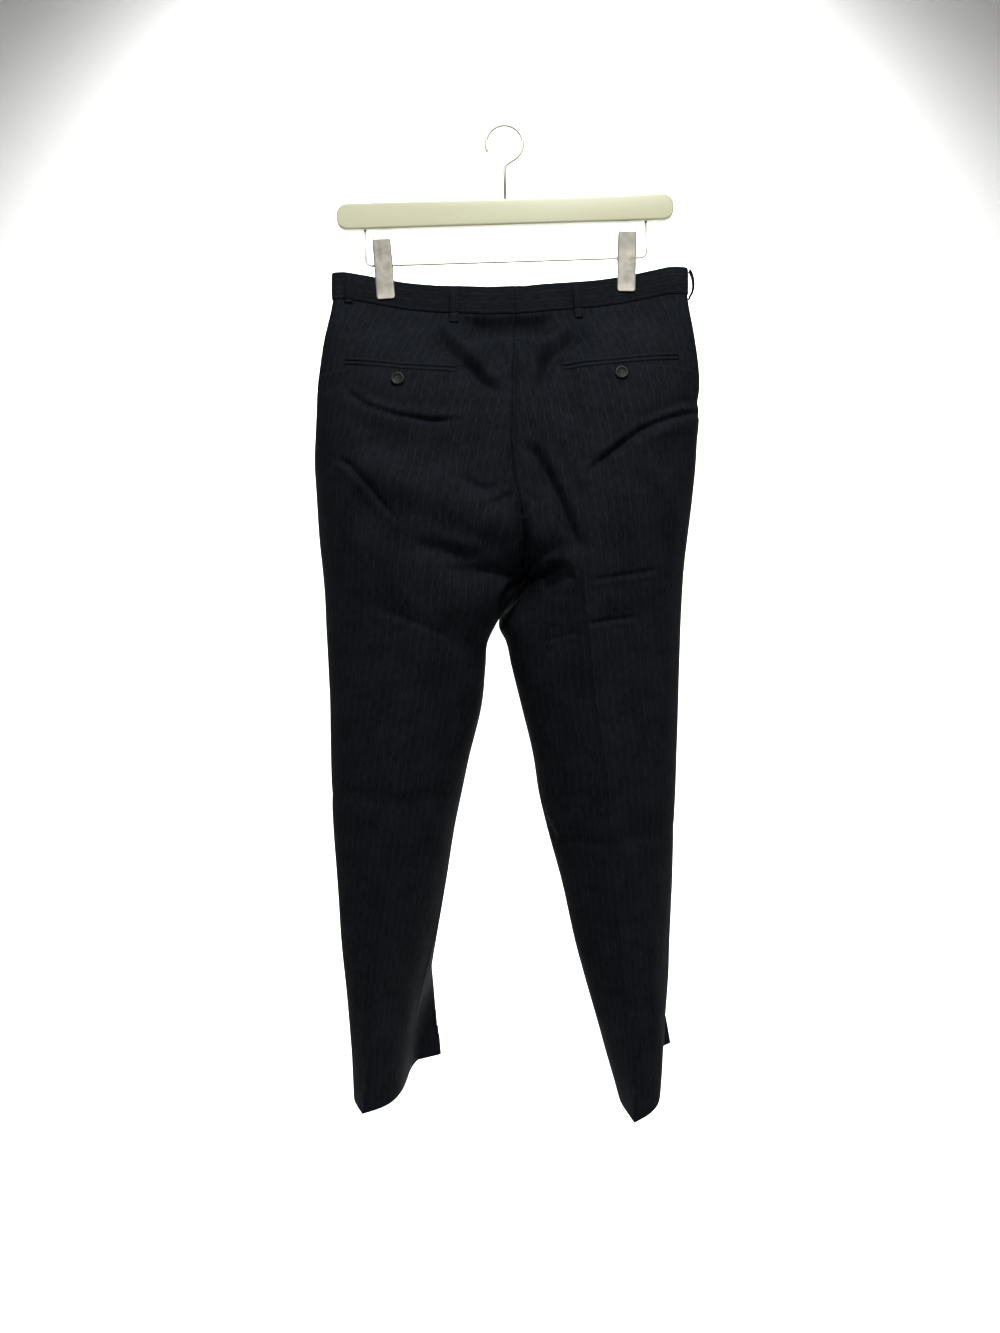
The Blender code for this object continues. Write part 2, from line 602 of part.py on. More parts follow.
def plate(name, outline, half_width, finish, collection, axis="X"):
    """A flat outline in the plane across an axis, drawn out to both sides of it."""
    bm = bmesh.new()
    if axis == "X":
        verts = [bm.verts.new((-half_width * MM, y * MM, z * MM)) for y, z in outline]
        way = Vector((2 * half_width * MM, 0, 0))
    else:
        verts = [bm.verts.new((x * MM, -half_width * MM, z * MM)) for x, z in outline]
        way = Vector((0, 2 * half_width * MM, 0))
    face = bm.faces.new(verts)
    raised = bmesh.ops.extrude_face_region(bm, geom=[face])
    moved = [item for item in raised["geom"] if isinstance(item, bmesh.types.BMVert)]
    bmesh.ops.translate(bm, vec=way, verts=moved)
    return mesh_object(name, bm, finish, collection)


def cylinder_cutter(name, radius, start, end, sides=16):
    """A cylinder between two points, for holes."""
    start, end = Vector(start) * MM, Vector(end) * MM
    bm = bmesh.new()
    bmesh.ops.create_cone(bm, cap_ends=True, segments=sides, radius1=radius * MM,
                          radius2=radius * MM, depth=(end - start).length)
    turned = (end - start).to_track_quat("Z", "Y").to_matrix().to_4x4()
    bmesh.ops.transform(bm, matrix=Matrix.Translation((start + end) / 2) @ turned, verts=bm.verts)
    return mesh_object(name, bm, "satin_metal", "cutters")


def cut(target, cutter):
    boolean = target.modifiers.new("cut_" + cutter.name, "BOOLEAN")
    boolean.operation = "DIFFERENCE"
    boolean.object = cutter
    boolean.solver = "EXACT"
    cutter.hide_render = True
    cutter.display_type = "WIRE"


def wire(name, points, diameter):
    """A round wire through points in millimetres."""
    curve = bpy.data.curves.new(name, "CURVE")
    curve.dimensions = "3D"
    curve.bevel_depth = diameter / 2 * MM
    curve.bevel_resolution = 2
    curve.use_fill_caps = True
    spline = curve.splines.new("POLY")
    spline.points.add(len(points) - 1)
    for knot, point in zip(spline.points, points):
        knot.co = (*(Vector(point) * MM), 1.0)
    return add_object(name, curve, "satin_metal")


def arc(centre, radius, start, end, count):
    """Points on an arc in the plane of the hanger; angles in degrees from +X towards +Z."""
    return [(centre[0] + radius * math.cos(math.radians(angle)), 0.0,
             centre[1] + radius * math.sin(math.radians(angle)))
            for angle in np.linspace(start, end, count)]


def make_bar():
    half, tall = BAR_LENGTH / 2, BAR_HEIGHT / 2
    outline = []
    for sign_x, sign_z, start in ((1, 1, 0), (-1, 1, 90), (-1, -1, 180), (1, -1, 270)):
        centre = (sign_x * (half - BAR_CORNER), BAR_CENTRE + sign_z * (tall - BAR_CORNER))
        outline += [(x, z) for x, _, z in arc(centre, BAR_CORNER, start, start + 90, 6)]
    bar = plate("hanger_bar", outline, BAR_DEPTH / 2, "lacquer", "parts", axis="Y")
    bevel = bar.modifiers.new("soft_edges", "BEVEL")
    bevel.width = BAR_EDGE * MM
    bevel.segments = 3
    bevel.limit_method = "ANGLE"
    bevel.angle_limit = math.radians(50)
    top, low = BAR_CENTRE + tall, BAR_CENTRE - tall
    bar.matrix_world = TILT
    cut(bar, cylinder_cutter("hook_socket", HOOK_WIRE / 2 + SEAM_GAP, (0, 0, top - HOOK_SOCKET),
                             (0, 0, top + 5)))
    for name, x in (("left", -RAIL_HALF), ("right", RAIL_HALF)):
        socket = cylinder_cutter("rail_socket_" + name, RAIL_WIRE / 2 + SEAM_GAP,
                                 (x, 0, low - 5), (x, 0, low + WIRE_SOCKET))
        socket.matrix_world = TILT
        cut(bar, socket)


def make_hook():
    """The shank rises from the bar, swings out to +X and turns over the rail towards -X."""
    foot = BAR_CENTRE + BAR_HEIGHT / 2 - HOOK_SOCKET + SEAM_GAP
    crown = HOOK_WIRE / 2
    centre_z = crown - HOOK_BEND
    neck = arc((HOOK_SWING, centre_z - HOOK_BEND - HOOK_SWING), HOOK_SWING, 180, 90, 6)
    eye = arc((0.0, centre_z), HOOK_BEND, *HOOK_EYE, 26)
    points = [(0.0, 0.0, foot)] + neck[:4] + eye
    wire("hanger_hook", points, HOOK_WIRE)


def make_rail():
    low = BAR_CENTRE - BAR_HEIGHT / 2
    top = low + WIRE_SOCKET - SEAM_GAP
    corner = RAIL_DROP + RAIL_CORNER
    inside = RAIL_HALF - RAIL_CORNER
    left = arc((-inside, corner), RAIL_CORNER, 180, 270, 7)
    right = arc((inside, corner), RAIL_CORNER, 270, 360, 7)
    points = [(-RAIL_HALF, 0, top)] + left + right + [(RAIL_HALF, 0, top)]
    wire("hanger_rail", points, RAIL_WIRE).matrix_world = TILT


def make_clips():
    """Two folded jaws a clip, the far one's flanges between the near one's."""
    hollow_outline = [(y + CLIP_PLATE, z) for y, z in JAW_FACE[:-1]] + list(JAW_HOLLOW)
    for side, x, lean in CLIPS:
        for jaw, facing, shrink in (("near", 1.0, 0.0), ("far", -1.0, CLIP_PLATE + SEAM_GAP)):
            name = "clip_" + side + "_" + jaw
            half = CLIP_WIDTH / 2 - shrink
            jaw_plate = plate(name, JAW_FACE + JAW_BACK, half, "satin_metal", "parts")
            hollow = plate(name + "_hollow", hollow_outline, half - CLIP_PLATE, "satin_metal", "cutters")
            hole = cylinder_cutter(name + "_hole", CLIP_HOLE, (-CLIP_WIDTH, 0, 0), (CLIP_WIDTH, 0, 0))
            cut(jaw_plate, hollow)
            cut(jaw_plate, hole)
            place = (TILT @ Matrix.Translation(Vector((x, 0, RAIL_DROP)) * MM)
                     @ Matrix.Rotation(math.radians(lean), 4, "Y"))
            if facing < 0:
                place = place @ Matrix.Rotation(math.pi, 4, "Z")
            for thing in (jaw_plate, hollow, hole):
                thing.matrix_world = place


# ---------------------------------------------------------------- assembly
def clear_scene():
    for thing in list(bpy.data.objects):
        bpy.data.objects.remove(thing, do_unlink=True)


def make_collections():
    made = {}
    for key, name in (("parts", NAME), ("cutters", NAME + "_cutters")):
        made[key] = bpy.data.collections.new(name)
        bpy.context.scene.collection.children.link(made[key])
    return made


def build():
    grids, outward = cloth_form(panel_levels())
    make_panels(grids, outward)
    make_waistband(grids, outward)
    back = Surface("back_left", "back_right")
    front = Surface("front_left", "front_right")
    everything = Surface("back_left", "back_right", "front_left", "front_right",
                         "waistband_left", "waistband_right")
    make_pockets(back)
    make_buttons(back)
    make_front_details(front)
    make_loops(everything)
    make_bar()
    make_hook()
    make_rail()
    make_clips()


clear_scene()
COLLECTIONS = make_collections()
build()
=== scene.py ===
"""Looks of a pair of pinstriped suit trousers hanging from a straight clip hanger.

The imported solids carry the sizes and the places.  The cloth here is a thin shell on the same
form, worked out from the same tables at a finer pitch, with its creases, seams, stitches and
stripes.  Sizes are millimetres, turned to metres when a mesh is made.  The wearer's back faces
-Y, and the origin is the inside top of the hanger's hook.
"""
import math

import bmesh
import bpy
import numpy as np
from mathutils import Matrix, Vector, noise
from mathutils.bvhtree import BVHTree


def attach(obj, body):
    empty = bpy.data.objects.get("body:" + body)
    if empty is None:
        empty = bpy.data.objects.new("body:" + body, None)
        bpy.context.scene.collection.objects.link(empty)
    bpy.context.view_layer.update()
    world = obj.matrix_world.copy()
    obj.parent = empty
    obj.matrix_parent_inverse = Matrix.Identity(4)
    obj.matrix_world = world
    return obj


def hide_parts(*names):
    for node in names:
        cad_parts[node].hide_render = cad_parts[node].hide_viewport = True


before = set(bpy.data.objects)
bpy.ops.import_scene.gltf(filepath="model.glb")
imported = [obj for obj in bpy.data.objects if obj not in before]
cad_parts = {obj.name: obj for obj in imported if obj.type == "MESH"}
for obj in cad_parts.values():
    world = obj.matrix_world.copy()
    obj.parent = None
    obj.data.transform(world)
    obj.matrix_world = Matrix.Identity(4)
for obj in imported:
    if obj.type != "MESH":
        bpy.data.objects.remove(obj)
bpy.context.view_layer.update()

MM = 0.001

# ---------------------------------------------------------------- the photograph's view
FRAME_HEIGHT = 1333             # pixels
MM_A_PIXEL = 1.19               # at the hanger's plane
EYE_DISTANCE = 1500.0
EYE = (-10.7, -EYE_DISTANCE, -642.0)
EYE_ROLL = math.radians(0.5)
SENSOR = 36.0                   # long side

# ---------------------------------------------------------------- driving sizes
CLOTH = 0.5             # one layer of worsted
BAND_WALL = 2.2
BAND_HEIGHT = 32.0
TAB_LENGTH = 42.0
WAIST_SEAM = -206.0
SEAT = -430.0
FORK = -533.0
HEM_START = -1000.0
HEM = -1135.0
SAG_END = -300.0

HANGER_TILT = math.radians(1.3)
BAR_LENGTH = 400.0
BAR_HEIGHT = 31.0
BAR_DEPTH = 13.0
BAR_CORNER = 12.5
BAR_EDGE = 2.5
BAR_CENTRE = -102.5
HOOK_WIRE = 4.0
HOOK_BEND = 22.0
HOOK_SWING = 9.0
HOOK_EYE = (-62, 205)
HOOK_SOCKET = 12.0
RAIL_WIRE = 3.0
RAIL_DROP = -160.5
RAIL_HALF = 167.0
RAIL_CORNER = 8.0
WIRE_SOCKET = 10.0
CLIP_WIDTH = 22.0
CLIPS = (("left", -146.2, -2.6), ("right", 142.6, 2.5))     # name, place on the rail, lean in degrees

WELT_HEIGHT = 5.0
LOOP_WIDTH = 10.0
LOOP_ARCH = 3.1
LOOP_SLACK = 3.0        # how much further out a side loop stands
LOOP_CLOTH = 1.2
FRONT_POCKET_WIDTH = 5.0
FLY_START = 3.0
FLY_LENGTH = 172.0
FLY_WIDTH = 38.0
FLY_LAP = 4.0
FLY_CURVE = 0.28
STRIPE_PITCH = 10.0     # from one pinstripe to the next
DASH_PITCH = 2.4
TWILL_PITCH = 1.2

# The waistband's top edge as it sags between the clips: x, height.
WAIST_TOP = (
    (-206, -173.4), (-190, -173.5), (-163, -177.0), (-142, -180.5), (-120, -185.0),
    (-78, -191.3), (-21, -197.0), (21, -196.8), (64, -191.2), (107, -184.9),
    (142, -179.0), (164, -175.4), (192, -171.0), (216, -171.0),
)

# Centre seam above the fork: level, x, depth of the seat behind, depth of the lap in front.
CENTRE = (
    (-170, 10, -24, 24), (-206, 10, -26, 26), (-253, 9, -48, 45), (-301, 7, -70, 64),
    (-349, 6, -82, 76), (-400, 5, -88, 81), (-430, 7, -88, 81), (-450, 12, -88, 81),
    (-491, 18, -88, 81), (-533, 22, -88, 81),
)

# Inseam below the fork: level, left x y, right x y.
INSEAM = (
    (-533, 22, 0, 22, 0), (-548, 13, -26, 10, 26), (-560, 7, -35, 2, 35), (-577, -5, -34, -8, 34),
    (-594, -16, -22, -11, 22), (-612, -25, -8, -3, 8), (-640, -28, 0, 3, 0), (-682, -32, 0, 13, 0),
    (-753, -49, 0, 29, 0), (-789, -57, 0, 34, 0), (-825, -65, 0, 42, 0), (-896, -78, 0, 61, 0),
    (-967, -93, 0, 77, 0), (-1039, -111, 4, 98, 4), (-1135, -126, 5, 130, 5),
)

# The rest of each level: level, back crease x y, side seam x y, front crease x y.
LEFT = (
    (-170, -143, -2.2, -204, 0, -143, 2.2), (-206, -143, -2.2, -206, 0, -143, 2.2),
    (-253, -128, -36, -216, 0, -128, 34), (-301, -112, -66, -223, 0, -112, 62),
    (-349, -104, -84, -226, 0, -106, 80), (-396, -98, -92, -228, 0, -104, 86),
    (-444, -92, -100, -226, 0, -104, 92), (-491, -85, -106, -224, 0, -106, 96),
    (-533, -83, -106, -220, 0, -108, 97), (-594, -88, -104, -217, 0, -112, 96),
    (-682, -103, -99, -213, 0, -116, 94), (-753, -117, -96, -212, 0, -118, 92),
    (-825, -128, -93, -209, 0, -116, 90), (-896, -138, -91, -203, 0, -110, 88),
    (-967, -149, -90, -197, 0, -104, 87), (-1039, -158, -90, -188, 0, -98, 87),
    (-1135, -169, -90, -178, 0, -91, 87),
)
RIGHT = (
    (-170, 144, -2.2, 214, 0, 144, 2.2), (-206, 144, -2.2, 216, 0, 144, 2.2),
    (-253, 130, -36, 224, 0, 130, 34), (-301, 114, -66, 229, 0, 114, 62),
    (-349, 104, -84, 227, 0, 104, 80), (-396, 96, -92, 225, 0, 104, 86),
    (-444, 90, -100, 220, 0, 106, 92), (-491, 84, -106, 214, 0, 108, 96),
    (-533, 84, -106, 209, 0, 110, 97), (-594, 90, -104, 205, 0, 115, 96),
    (-682, 97, -99, 201, 0, 122, 94), (-753, 108, -96, 198, 0, 130, 92),
    (-825, 113, -93, 195, 0, 140, 90), (-896, 118, -91, 192, 0, 152, 88),
    (-967, 124, -90, 188, 2, 166, 87), (-1039, 130, -90, 185, 4, 184, 87),
    (-1135, 135, -91, 176, 5, 200, 88),
)
HALVES = {"left": LEFT, "right": RIGHT}
HEM_SLANT = {"left": 6.0, "right": 18.0}

# Where the grain runs behind: level, x of the stripe that goes on down as the back crease.
GRAIN = {
    "left": ((-200, -8), (-260, -27), (-320, -44), (-380, -59), (-440, -71),
             (-500, -80), (-560, -86), (-620, -92)),
    "right": ((-200, 26), (-260, 41), (-320, 54), (-380, 65), (-440, 74),
             (-500, 81), (-560, 86), (-620, 92)),
}

# The largest folds on each face: depth (a ridge is above nought), reach to each side, then the
# path from one end to the other as x, height, x, height and so on.
FOLDS = {"back": (
    (-5.0, 9, (232, -330, 200, -343, 164, -362, 137, -383, 108, -407)),
    (4.5, 17, (226, -350, 192, -362, 158, -382, 130, -408)),
    (-4.5, 14, (-70, -242, -46, -275, -20, -302, -6, -312)),
    (-3.5, 9, (-188, -312, -168, -328, -139, -342, -100, -347, -56, -348)),
    (4.0, 14, (-180, -335, -140, -360, -96, -368)),
    (6.5, 24, (-185, -398, -130, -428, -85, -442, -30, -462, 30, -488)),
    (-5.5, 18, (-160, -430, -120, -462, -70, -482, -20, -502, 10, -520)),
    (-4.5, 12, (32, -372, 52, -412, 68, -462, 80, -500)),
    (4.0, 14, (52, -372, 76, -412, 92, -450)),
    (-5.0, 11, (78, -508, 54, -511, 32, -522, 12, -540, -8, -580)),
    (-3.0, 12, (96, -590, 130, -585, 160, -582)),
    (-3.0, 13, (-160, -570, -120, -583, -74, -600, -54, -618)),
    (-2.5, 9, (-205, -790, -150, -793, -72, -792)),
    (-2.5, 9, (50, -835, 100, -842, 188, -836)),
), "front": (
    (-4.0, 14, (150, -232, 112, -290, 70, -360, 34, -430)),
    (-4.0, 14, (-150, -236, -116, -300, -66, -376, -20, -440)),
    (-5.0, 15, (-96, -470, -50, -482, -12, -500)),
    (-4.5, 13, (118, -486, 80, -484, 44, -496)),
    (4.0, 18, (-150, -410, -104, -436, -60, -448)),
    (4.0, 18, (160, -420, 120, -440, 74, -452)),
    (-3.0, 12, (-186, -560, -140, -572, -96, -574)),
    (-3.0, 12, (90, -580, 140, -590, 180, -584)),
)}

# Finer creases: depth, reach, height of the roll of cloth on the path's left, path.
CREASES = {"back": (
    (-7.0, 3.6, 2.6, (82, -434, 104, -413, 127, -395, 152, -377, 186, -361, 215, -350, 236, -344)),
    (1.2, 3.5, 0, (108, -420, 140, -398, 176, -378, 212, -364)),
    (-6.0, 3.3, 1.8, (-196, -306, -182, -327, -158, -346, -124, -359, -86, -365, -42, -364)),
    (-5.0, 3.2, 1.8, (-124, -482, -138, -462, -153, -440, -176, -414, -198, -400)),
    (-10.0, 7.0, 4.5, (-92, -238, -78, -256, -64, -279, -45, -297, -30, -318, -12, -330, 2, -336)),
    (-13.0, 7.5, 4.5, (38, -336, 43, -314, 47, -295, 57, -280, 68, -270, 82, -254, 90, -242)),
    (-17.5, 12.0, 0, (-60, -238, -40, -244, 0, -248, 44, -244, 66, -237)),
    (7.0, 22.0, 0, (-204, -400, -150, -430, -100, -456, -40, -480, 30, -502)),
    (-5.0, 20.0, 0, (-196, -448, -130, -496, -60, -524, -4, -544)),
    (-5.0, 20.0, 0, (-166, -386, -110, -402, -56, -404)),
    (-3.5, 26.0, 0, (96, -520, 150, -500, 204, -488)),
    (-7.5, 14.0, 0, (70, -280, 64, -314, 70, -346, 78, -372)),
    (-4.0, 11.0, 0, (-60, -292, -40, -308, -24, -320)),
    (4.5, 8.0, 0, (-66, -256, -40, -282, -14, -306)),
    (3.5, 8.0, 0, (14, -312, 34, -284, 54, -262)),
    (-4.0, 5.0, 0, (-12, -262, -4, -288, 2, -302)),
    (-3.0, 3.6, 1.3, (8, -262, 9, -310, 7, -366, 4, -420, 8, -452)),
    (-7.5, 6.2, 3.6, (12, -382, 30, -404, 43, -428, 57, -462, 69, -494, 79, -520)),
    (4.2, 8.0, 0, (18, -322, 28, -356, 42, -388, 58, -428, 77, -474, 88, -500)),
    (-4.6, 3.2, 0, (9, -450, 12, -489, 17, -512, 21, -534)),
    (2.6, 6.0, 0, (-3, -456, -1, -494, 5, -528)),
    (2.4, 6.0, 0, (24, -448, 28, -488, 34, -514)),
    (-7.0, 4.6, 3.4, (-10, -584, -3, -564, 9, -549, 30, -537, 50, -531, 72, -528)),
    (-5.0, 9.0, 0, (34, -552, 54, -546, 74, -540)),
    (1.0, 2.2, 0, (79, -522, 84, -560, 90, -613, 97, -680, 107, -740)),
    (0.6, 2.4, 0, (-84, -530, -90, -600, -105, -690, -124, -790)),
    (-2.6, 2.6, 1.0, (176, -533, 134, -541, 84, -548)),
    (-3.0, 2.6, 1.2, (152, -587, 112, -592, 80, -597)),
    (-1.3, 2.6, 0.6, (82, -604, 56, -610, 30, -614)),
    (-1.5, 3.0, 0.8, (-54, -625, -74, -606, -115, -589, -152, -575)),
    (-1.2, 2.2, 0.4, (-200, -781, -181, -782, -138, -784)),
    (-1.1, 2.2, 0.4, (-131, -782, -53, -781)),
    (-1.6, 3.0, 0.8, (38, -812, 53, -847)),
    (-1.1, 2.2, 0.4, (50, -843, 109, -843)),
    (-0.9, 2.2, 0.3, (122, -836, 164, -834)),
    (-0.8, 2.4, 0.3, (-179, -844, -138, -848)),
    (-0.5, 2.4, 0, (-189, -1017, -144, -1020, -110, -1018)),
    (2.0, 9.0, 0, (-120, -236, -92, -262, -66, -290, -40, -316)),
    (1.8, 8.0, 0, (120, -250, 96, -280, 78, -312)),
    (-3.6, 5.0, 1.6, (-52, -428, -38, -442, -22, -446, -8, -436)),
    (-3.4, 4.6, 1.4, (-34, -476, -18, -462, 0, -452, 10, -446)),
    (-2.8, 4.0, 1.0, (32, -452, 22, -464, 14, -476)),
    (-1.6, 3.6, 0.6, (-46, -480, -58, -462, -64, -446)),
    (2.0, 7.0, 0, (-96, -486, -60, -502, -20, -514)),
    (-4.0, 8.0, 1.0, (-112, -504, -70, -514, -30, -524)),
    (-1.4, 6.0, 0, (-206, -455, -188, -500, -170, -548)),
    (1.2, 8.0, 0, (-150, -530, -120, -556, -96, -590)),
    (1.2, 7.0, 0, (196, -440, 190, -500, 184, -560)),
    (-1.2, 5.0, 0, (170, -440, 166, -500, 162, -530)),
    (2.4, 12.0, 0, (56, -562, 56, -585, 50, -600)),
    (1.0, 8.0, 0, (-190, -640, -186, -700, -188, -760)),
    (-0.9, 6.0, 0, (-60, -660, -66, -720, -78, -770)),
    (-0.9, 6.0, 0, (40, -690, 52, -750, 60, -800)),
    (1.0, 7.0, 0, (160, -640, 164, -720, 166, -800)),
    (-0.7, 3.0, 0.3, (-196, -905, -160, -912, -120, -908)),
    (-0.7, 3.0, 0.3, (86, -935, 130, -930, 176, -936)),
    (0.8, 7.0, 0, (-176, -880, -180, -980, -184, -1060)),
    (0.8, 7.0, 0, (166, -880, 164, -960, 160, -1040)),
), "front": (
    (-2.6, 3.0, 1.2, (-96, -376, -130, -372, -168, -356, -200, -330)),
    (-3.0, 3.2, 1.4, (206, -344, 172, -366, 136, -384, 104, -392)),
    (-2.6, 3.6, 1.4, (-14, -506, -52, -486, -92, -472)),
    (-2.4, 3.4, 1.4, (112, -488, 80, -490, 46, -502)),
    (-1.6, 3.0, 0.8, (-120, -520, -70, -528, -20, -540)),
    (-1.6, 3.0, 0.8, (130, -524, 86, -530, 40, -540)),
    (-1.2, 2.4, 0.4, (-204, -786, -150, -790, -62, -786)),
    (-1.2, 2.4, 0.4, (46, -840, 110, -846, 190, -838)),
    (1.0, 7.0, 0, (-180, -600, -176, -680, -182, -760)),
    (1.0, 7.0, 0, (170, -600, 172, -690, 176, -780)),
    (-0.9, 5.0, 0, (-60, -640, -70, -720, -84, -780)),
    (-0.9, 5.0, 0, (40, -650, 62, -740, 84, -820)),
    (-0.7, 3.0, 0.3, (-190, -930, -150, -936, -104, -930)),
    (-0.7, 3.0, 0.3, (98, -950, 140, -944, 184, -950)),
    (-2.0, 6.0, 0.8, (-110, -236, -100, -280, -104, -330)),
    (-2.0, 6.0, 0.8, (118, -238, 112, -284, 118, -330)),
)}

# Belt loops: name, face, x at the top and at the lower end, lengths above and below the seam.
LOOPS = (
    ("loop_back_left", "back", -61, -61, 27, 12), ("loop_back_right", "back", 83, 86, 27, 12),
    ("loop_side_left", "back", -184, -186, 29, 4), ("loop_side_right", "side", -3, -3, 30, 5),
    ("loop_front_left", "front", -82, -82, 27, 12), ("loop_front_right", "front", 96, 96, 27, 12),
)

# Back pocket mouths: outer end, middle, inner end as x, height.
POCKETS = {
    "left": ((-188, -286.5), (-121, -297.5), (-57, -302.5)),
    "right": ((200, -283.5), (131, -292.5), (64, -299.5)),
}
BUTTONS = {"left": (-123.5, -316), "right": (130, -310.5)}
FRONT_POCKETS = {"left": ((-158, -216), (-198, -372)), "right": ((164, -214), (200, -372))}


# ---------------------------------------------------------------- stage
def place_camera():
    """The photograph's own viewpoint: level, square on, a step and a half away."""
    data = bpy.data.cameras.new("camera")
    data.sensor_width = SENSOR
    data.lens = SENSOR * EYE_DISTANCE / MM_A_PIXEL / FRAME_HEIGHT
    camera = bpy.data.objects.new("camera", data)
    bpy.context.scene.collection.objects.link(camera)
    camera.matrix_world = (Matrix.Translation(Vector(EYE) * MM) @ Matrix.Rotation(EYE_ROLL, 4, "Y")
                           @ Matrix.Rotation(math.pi / 2, 4, "X"))
    bpy.context.scene.camera = camera


place_camera()


# ---------------------------------------------------------------- materials
def linear(code):
    """A linear colour from an sRGB hex code."""
    shares = [int(code[at:at + 2], 16) / 255 for at in (1, 3, 5)]
    return tuple(s / 12.92 if s <= 0.04045 else ((s + 0.055) / 1.055) ** 2.4 for s in shares) + (1.0,)


def add_node(tree, kind, settings=(), inputs=()):
    """Adds a node; an input takes a value or another node's output.  Gives its outputs."""
    made = tree.nodes.new(kind)
    for key, value in dict(settings).items():
        setattr(made, key, value)
    for key, value in dict(inputs).items():
        if isinstance(value, bpy.types.NodeSocket):
            tree.links.new(value, made.inputs[key])
        else:
            made.inputs[key].default_value = value
    return made.outputs


def start_material(name, constants):
    """A material whose shader has these constant sockets; gives it, its tree and its shader."""
    made = bpy.data.materials.new(name)
    made.use_nodes = True
    shader = made.node_tree.nodes["Principled BSDF"]
    for key, value in constants.items():
        shader.inputs[key].default_value = value
    return made, made.node_tree, shader


def link(tree, output, shader, socket):
    tree.links.new(output, shader.inputs[socket])


def pinstriped_worsted():
    """Navy worsted wool, woven as a fine twill with a pin-dot stripe, then pressed.

    The cloth is close to black and matt, with a faint bloom of raised fibre.  The stripe is one
    greyer yarn that shows as broken dashes; it is drawn 0.8 mm wide and dimmer than the yarn, so
    that it still shows from a step away.  The twill line is really 0.5 mm and is drawn at 1.2 mm
    for the same reason.  Slubs along the warp give the cloth its dry, streaky look.
    """
    made, tree, shader = start_material("pinstriped_worsted_twill", {
        "Roughness": 0.85, "Specular IOR Level": 0.03,
        "Sheen Weight": 0.004, "Sheen Roughness": 0.5, "Sheen Tint": linear("#A7AEC0")})
    dash, line = 2 * math.pi / DASH_PITCH, 2 * math.pi / TWILL_PITCH
    uv = add_node(tree, "ShaderNodeUVMap", {"uv_map": "cloth"})["UV"]
    in_mm = add_node(tree, "ShaderNodeVectorMath", {"operation": "SCALE"}, {0: uv, "Scale": 1 / MM})[0]
    parts = add_node(tree, "ShaderNodeSeparateXYZ", (), {0: in_mm})
    across, down = parts["X"], parts["Y"]
    away = add_node(tree, "ShaderNodeMath", {"operation": "PINGPONG"}, {0: across, 1: STRIPE_PITCH / 2})[0]
    stripe = add_node(tree, "ShaderNodeMapRange", {"interpolation_type": "SMOOTHSTEP"},
                      {0: away, 1: 0.25, 2: 0.6, 3: 1.0, 4: 0.0})[0]
    dot_phase = add_node(tree, "ShaderNodeMath", {"operation": "MULTIPLY"}, {0: down, 1: dash})[0]
    dots = add_node(tree, "ShaderNodeMath", {"operation": "SINE"}, {0: dot_phase})[0]
    pulse = add_node(tree, "ShaderNodeMapRange", (), {0: dots, 1: -0.6, 2: 0.6, 3: 0.3, 4: 1.0})[0]
    broken = add_node(tree, "ShaderNodeTexNoise", (), {"Vector": in_mm, "Scale": 0.09, "Detail": 4.0})[0]
    kept = add_node(tree, "ShaderNodeMapRange", (), {0: broken, 1: 0.36, 2: 0.66, 3: 0.2, 4: 1.0})[0]
    shown = add_node(tree, "ShaderNodeMath", {"operation": "MULTIPLY"}, {0: kept, 1: pulse})[0]
    mask = add_node(tree, "ShaderNodeMath", {"operation": "MULTIPLY"}, {0: stripe, 1: shown})[0]
    slope = add_node(tree, "ShaderNodeMath", {"operation": "MULTIPLY_ADD"}, {0: down, 1: 0.6, 2: across})[0]
    twill_phase = add_node(tree, "ShaderNodeMath", {"operation": "MULTIPLY"}, {0: slope, 1: line})[0]
    twill = add_node(tree, "ShaderNodeMath", {"operation": "SINE"}, {0: twill_phase})[0]
    warp = add_node(tree, "ShaderNodeVectorMath", {"operation": "MULTIPLY"},
                    {0: in_mm, 1: (1.0, 0.13, 1.0)})[0]
    slub = add_node(tree, "ShaderNodeTexNoise", (), {"Vector": warp, "Scale": 0.75, "Detail": 3.0})[0]
    cloud = add_node(tree, "ShaderNodeTexNoise", (), {"Vector": in_mm, "Scale": 0.03, "Detail": 4.0})[0]
    tone = add_node(tree, "ShaderNodeMath", {"operation": "MULTIPLY_ADD"}, {0: cloud, 1: 0.6, 2: slub})[0]
    lined = add_node(tree, "ShaderNodeMath", {"operation": "MULTIPLY_ADD"}, {0: twill, 1: 0.06, 2: tone})[0]
    spread = add_node(tree, "ShaderNodeMapRange", (), {0: lined, 1: 0.5, 2: 1.1})[0]
    ground = add_node(tree, "ShaderNodeMix", {"data_type": "RGBA"},
                      {0: spread, 6: linear("#0D0F12"), 7: linear("#1E2126")})[2]
    colour = add_node(tree, "ShaderNodeMix", {"data_type": "RGBA"},
                      {0: mask, 6: ground, 7: linear("#282B32")})[2]
    link(tree, colour, shader, "Base Color")
    weave = add_node(tree, "ShaderNodeMath", {"operation": "MULTIPLY_ADD"}, {0: twill, 1: 0.3, 2: slub})[0]
    raised = add_node(tree, "ShaderNodeMath", {"operation": "ADD"}, {0: weave, 1: mask})[0]
    bump = add_node(tree, "ShaderNodeBump", (), {"Height": raised, "Distance": 0.12 * MM, "Strength": 0.6})[0]
    link(tree, bump, shader, "Normal")
    return made


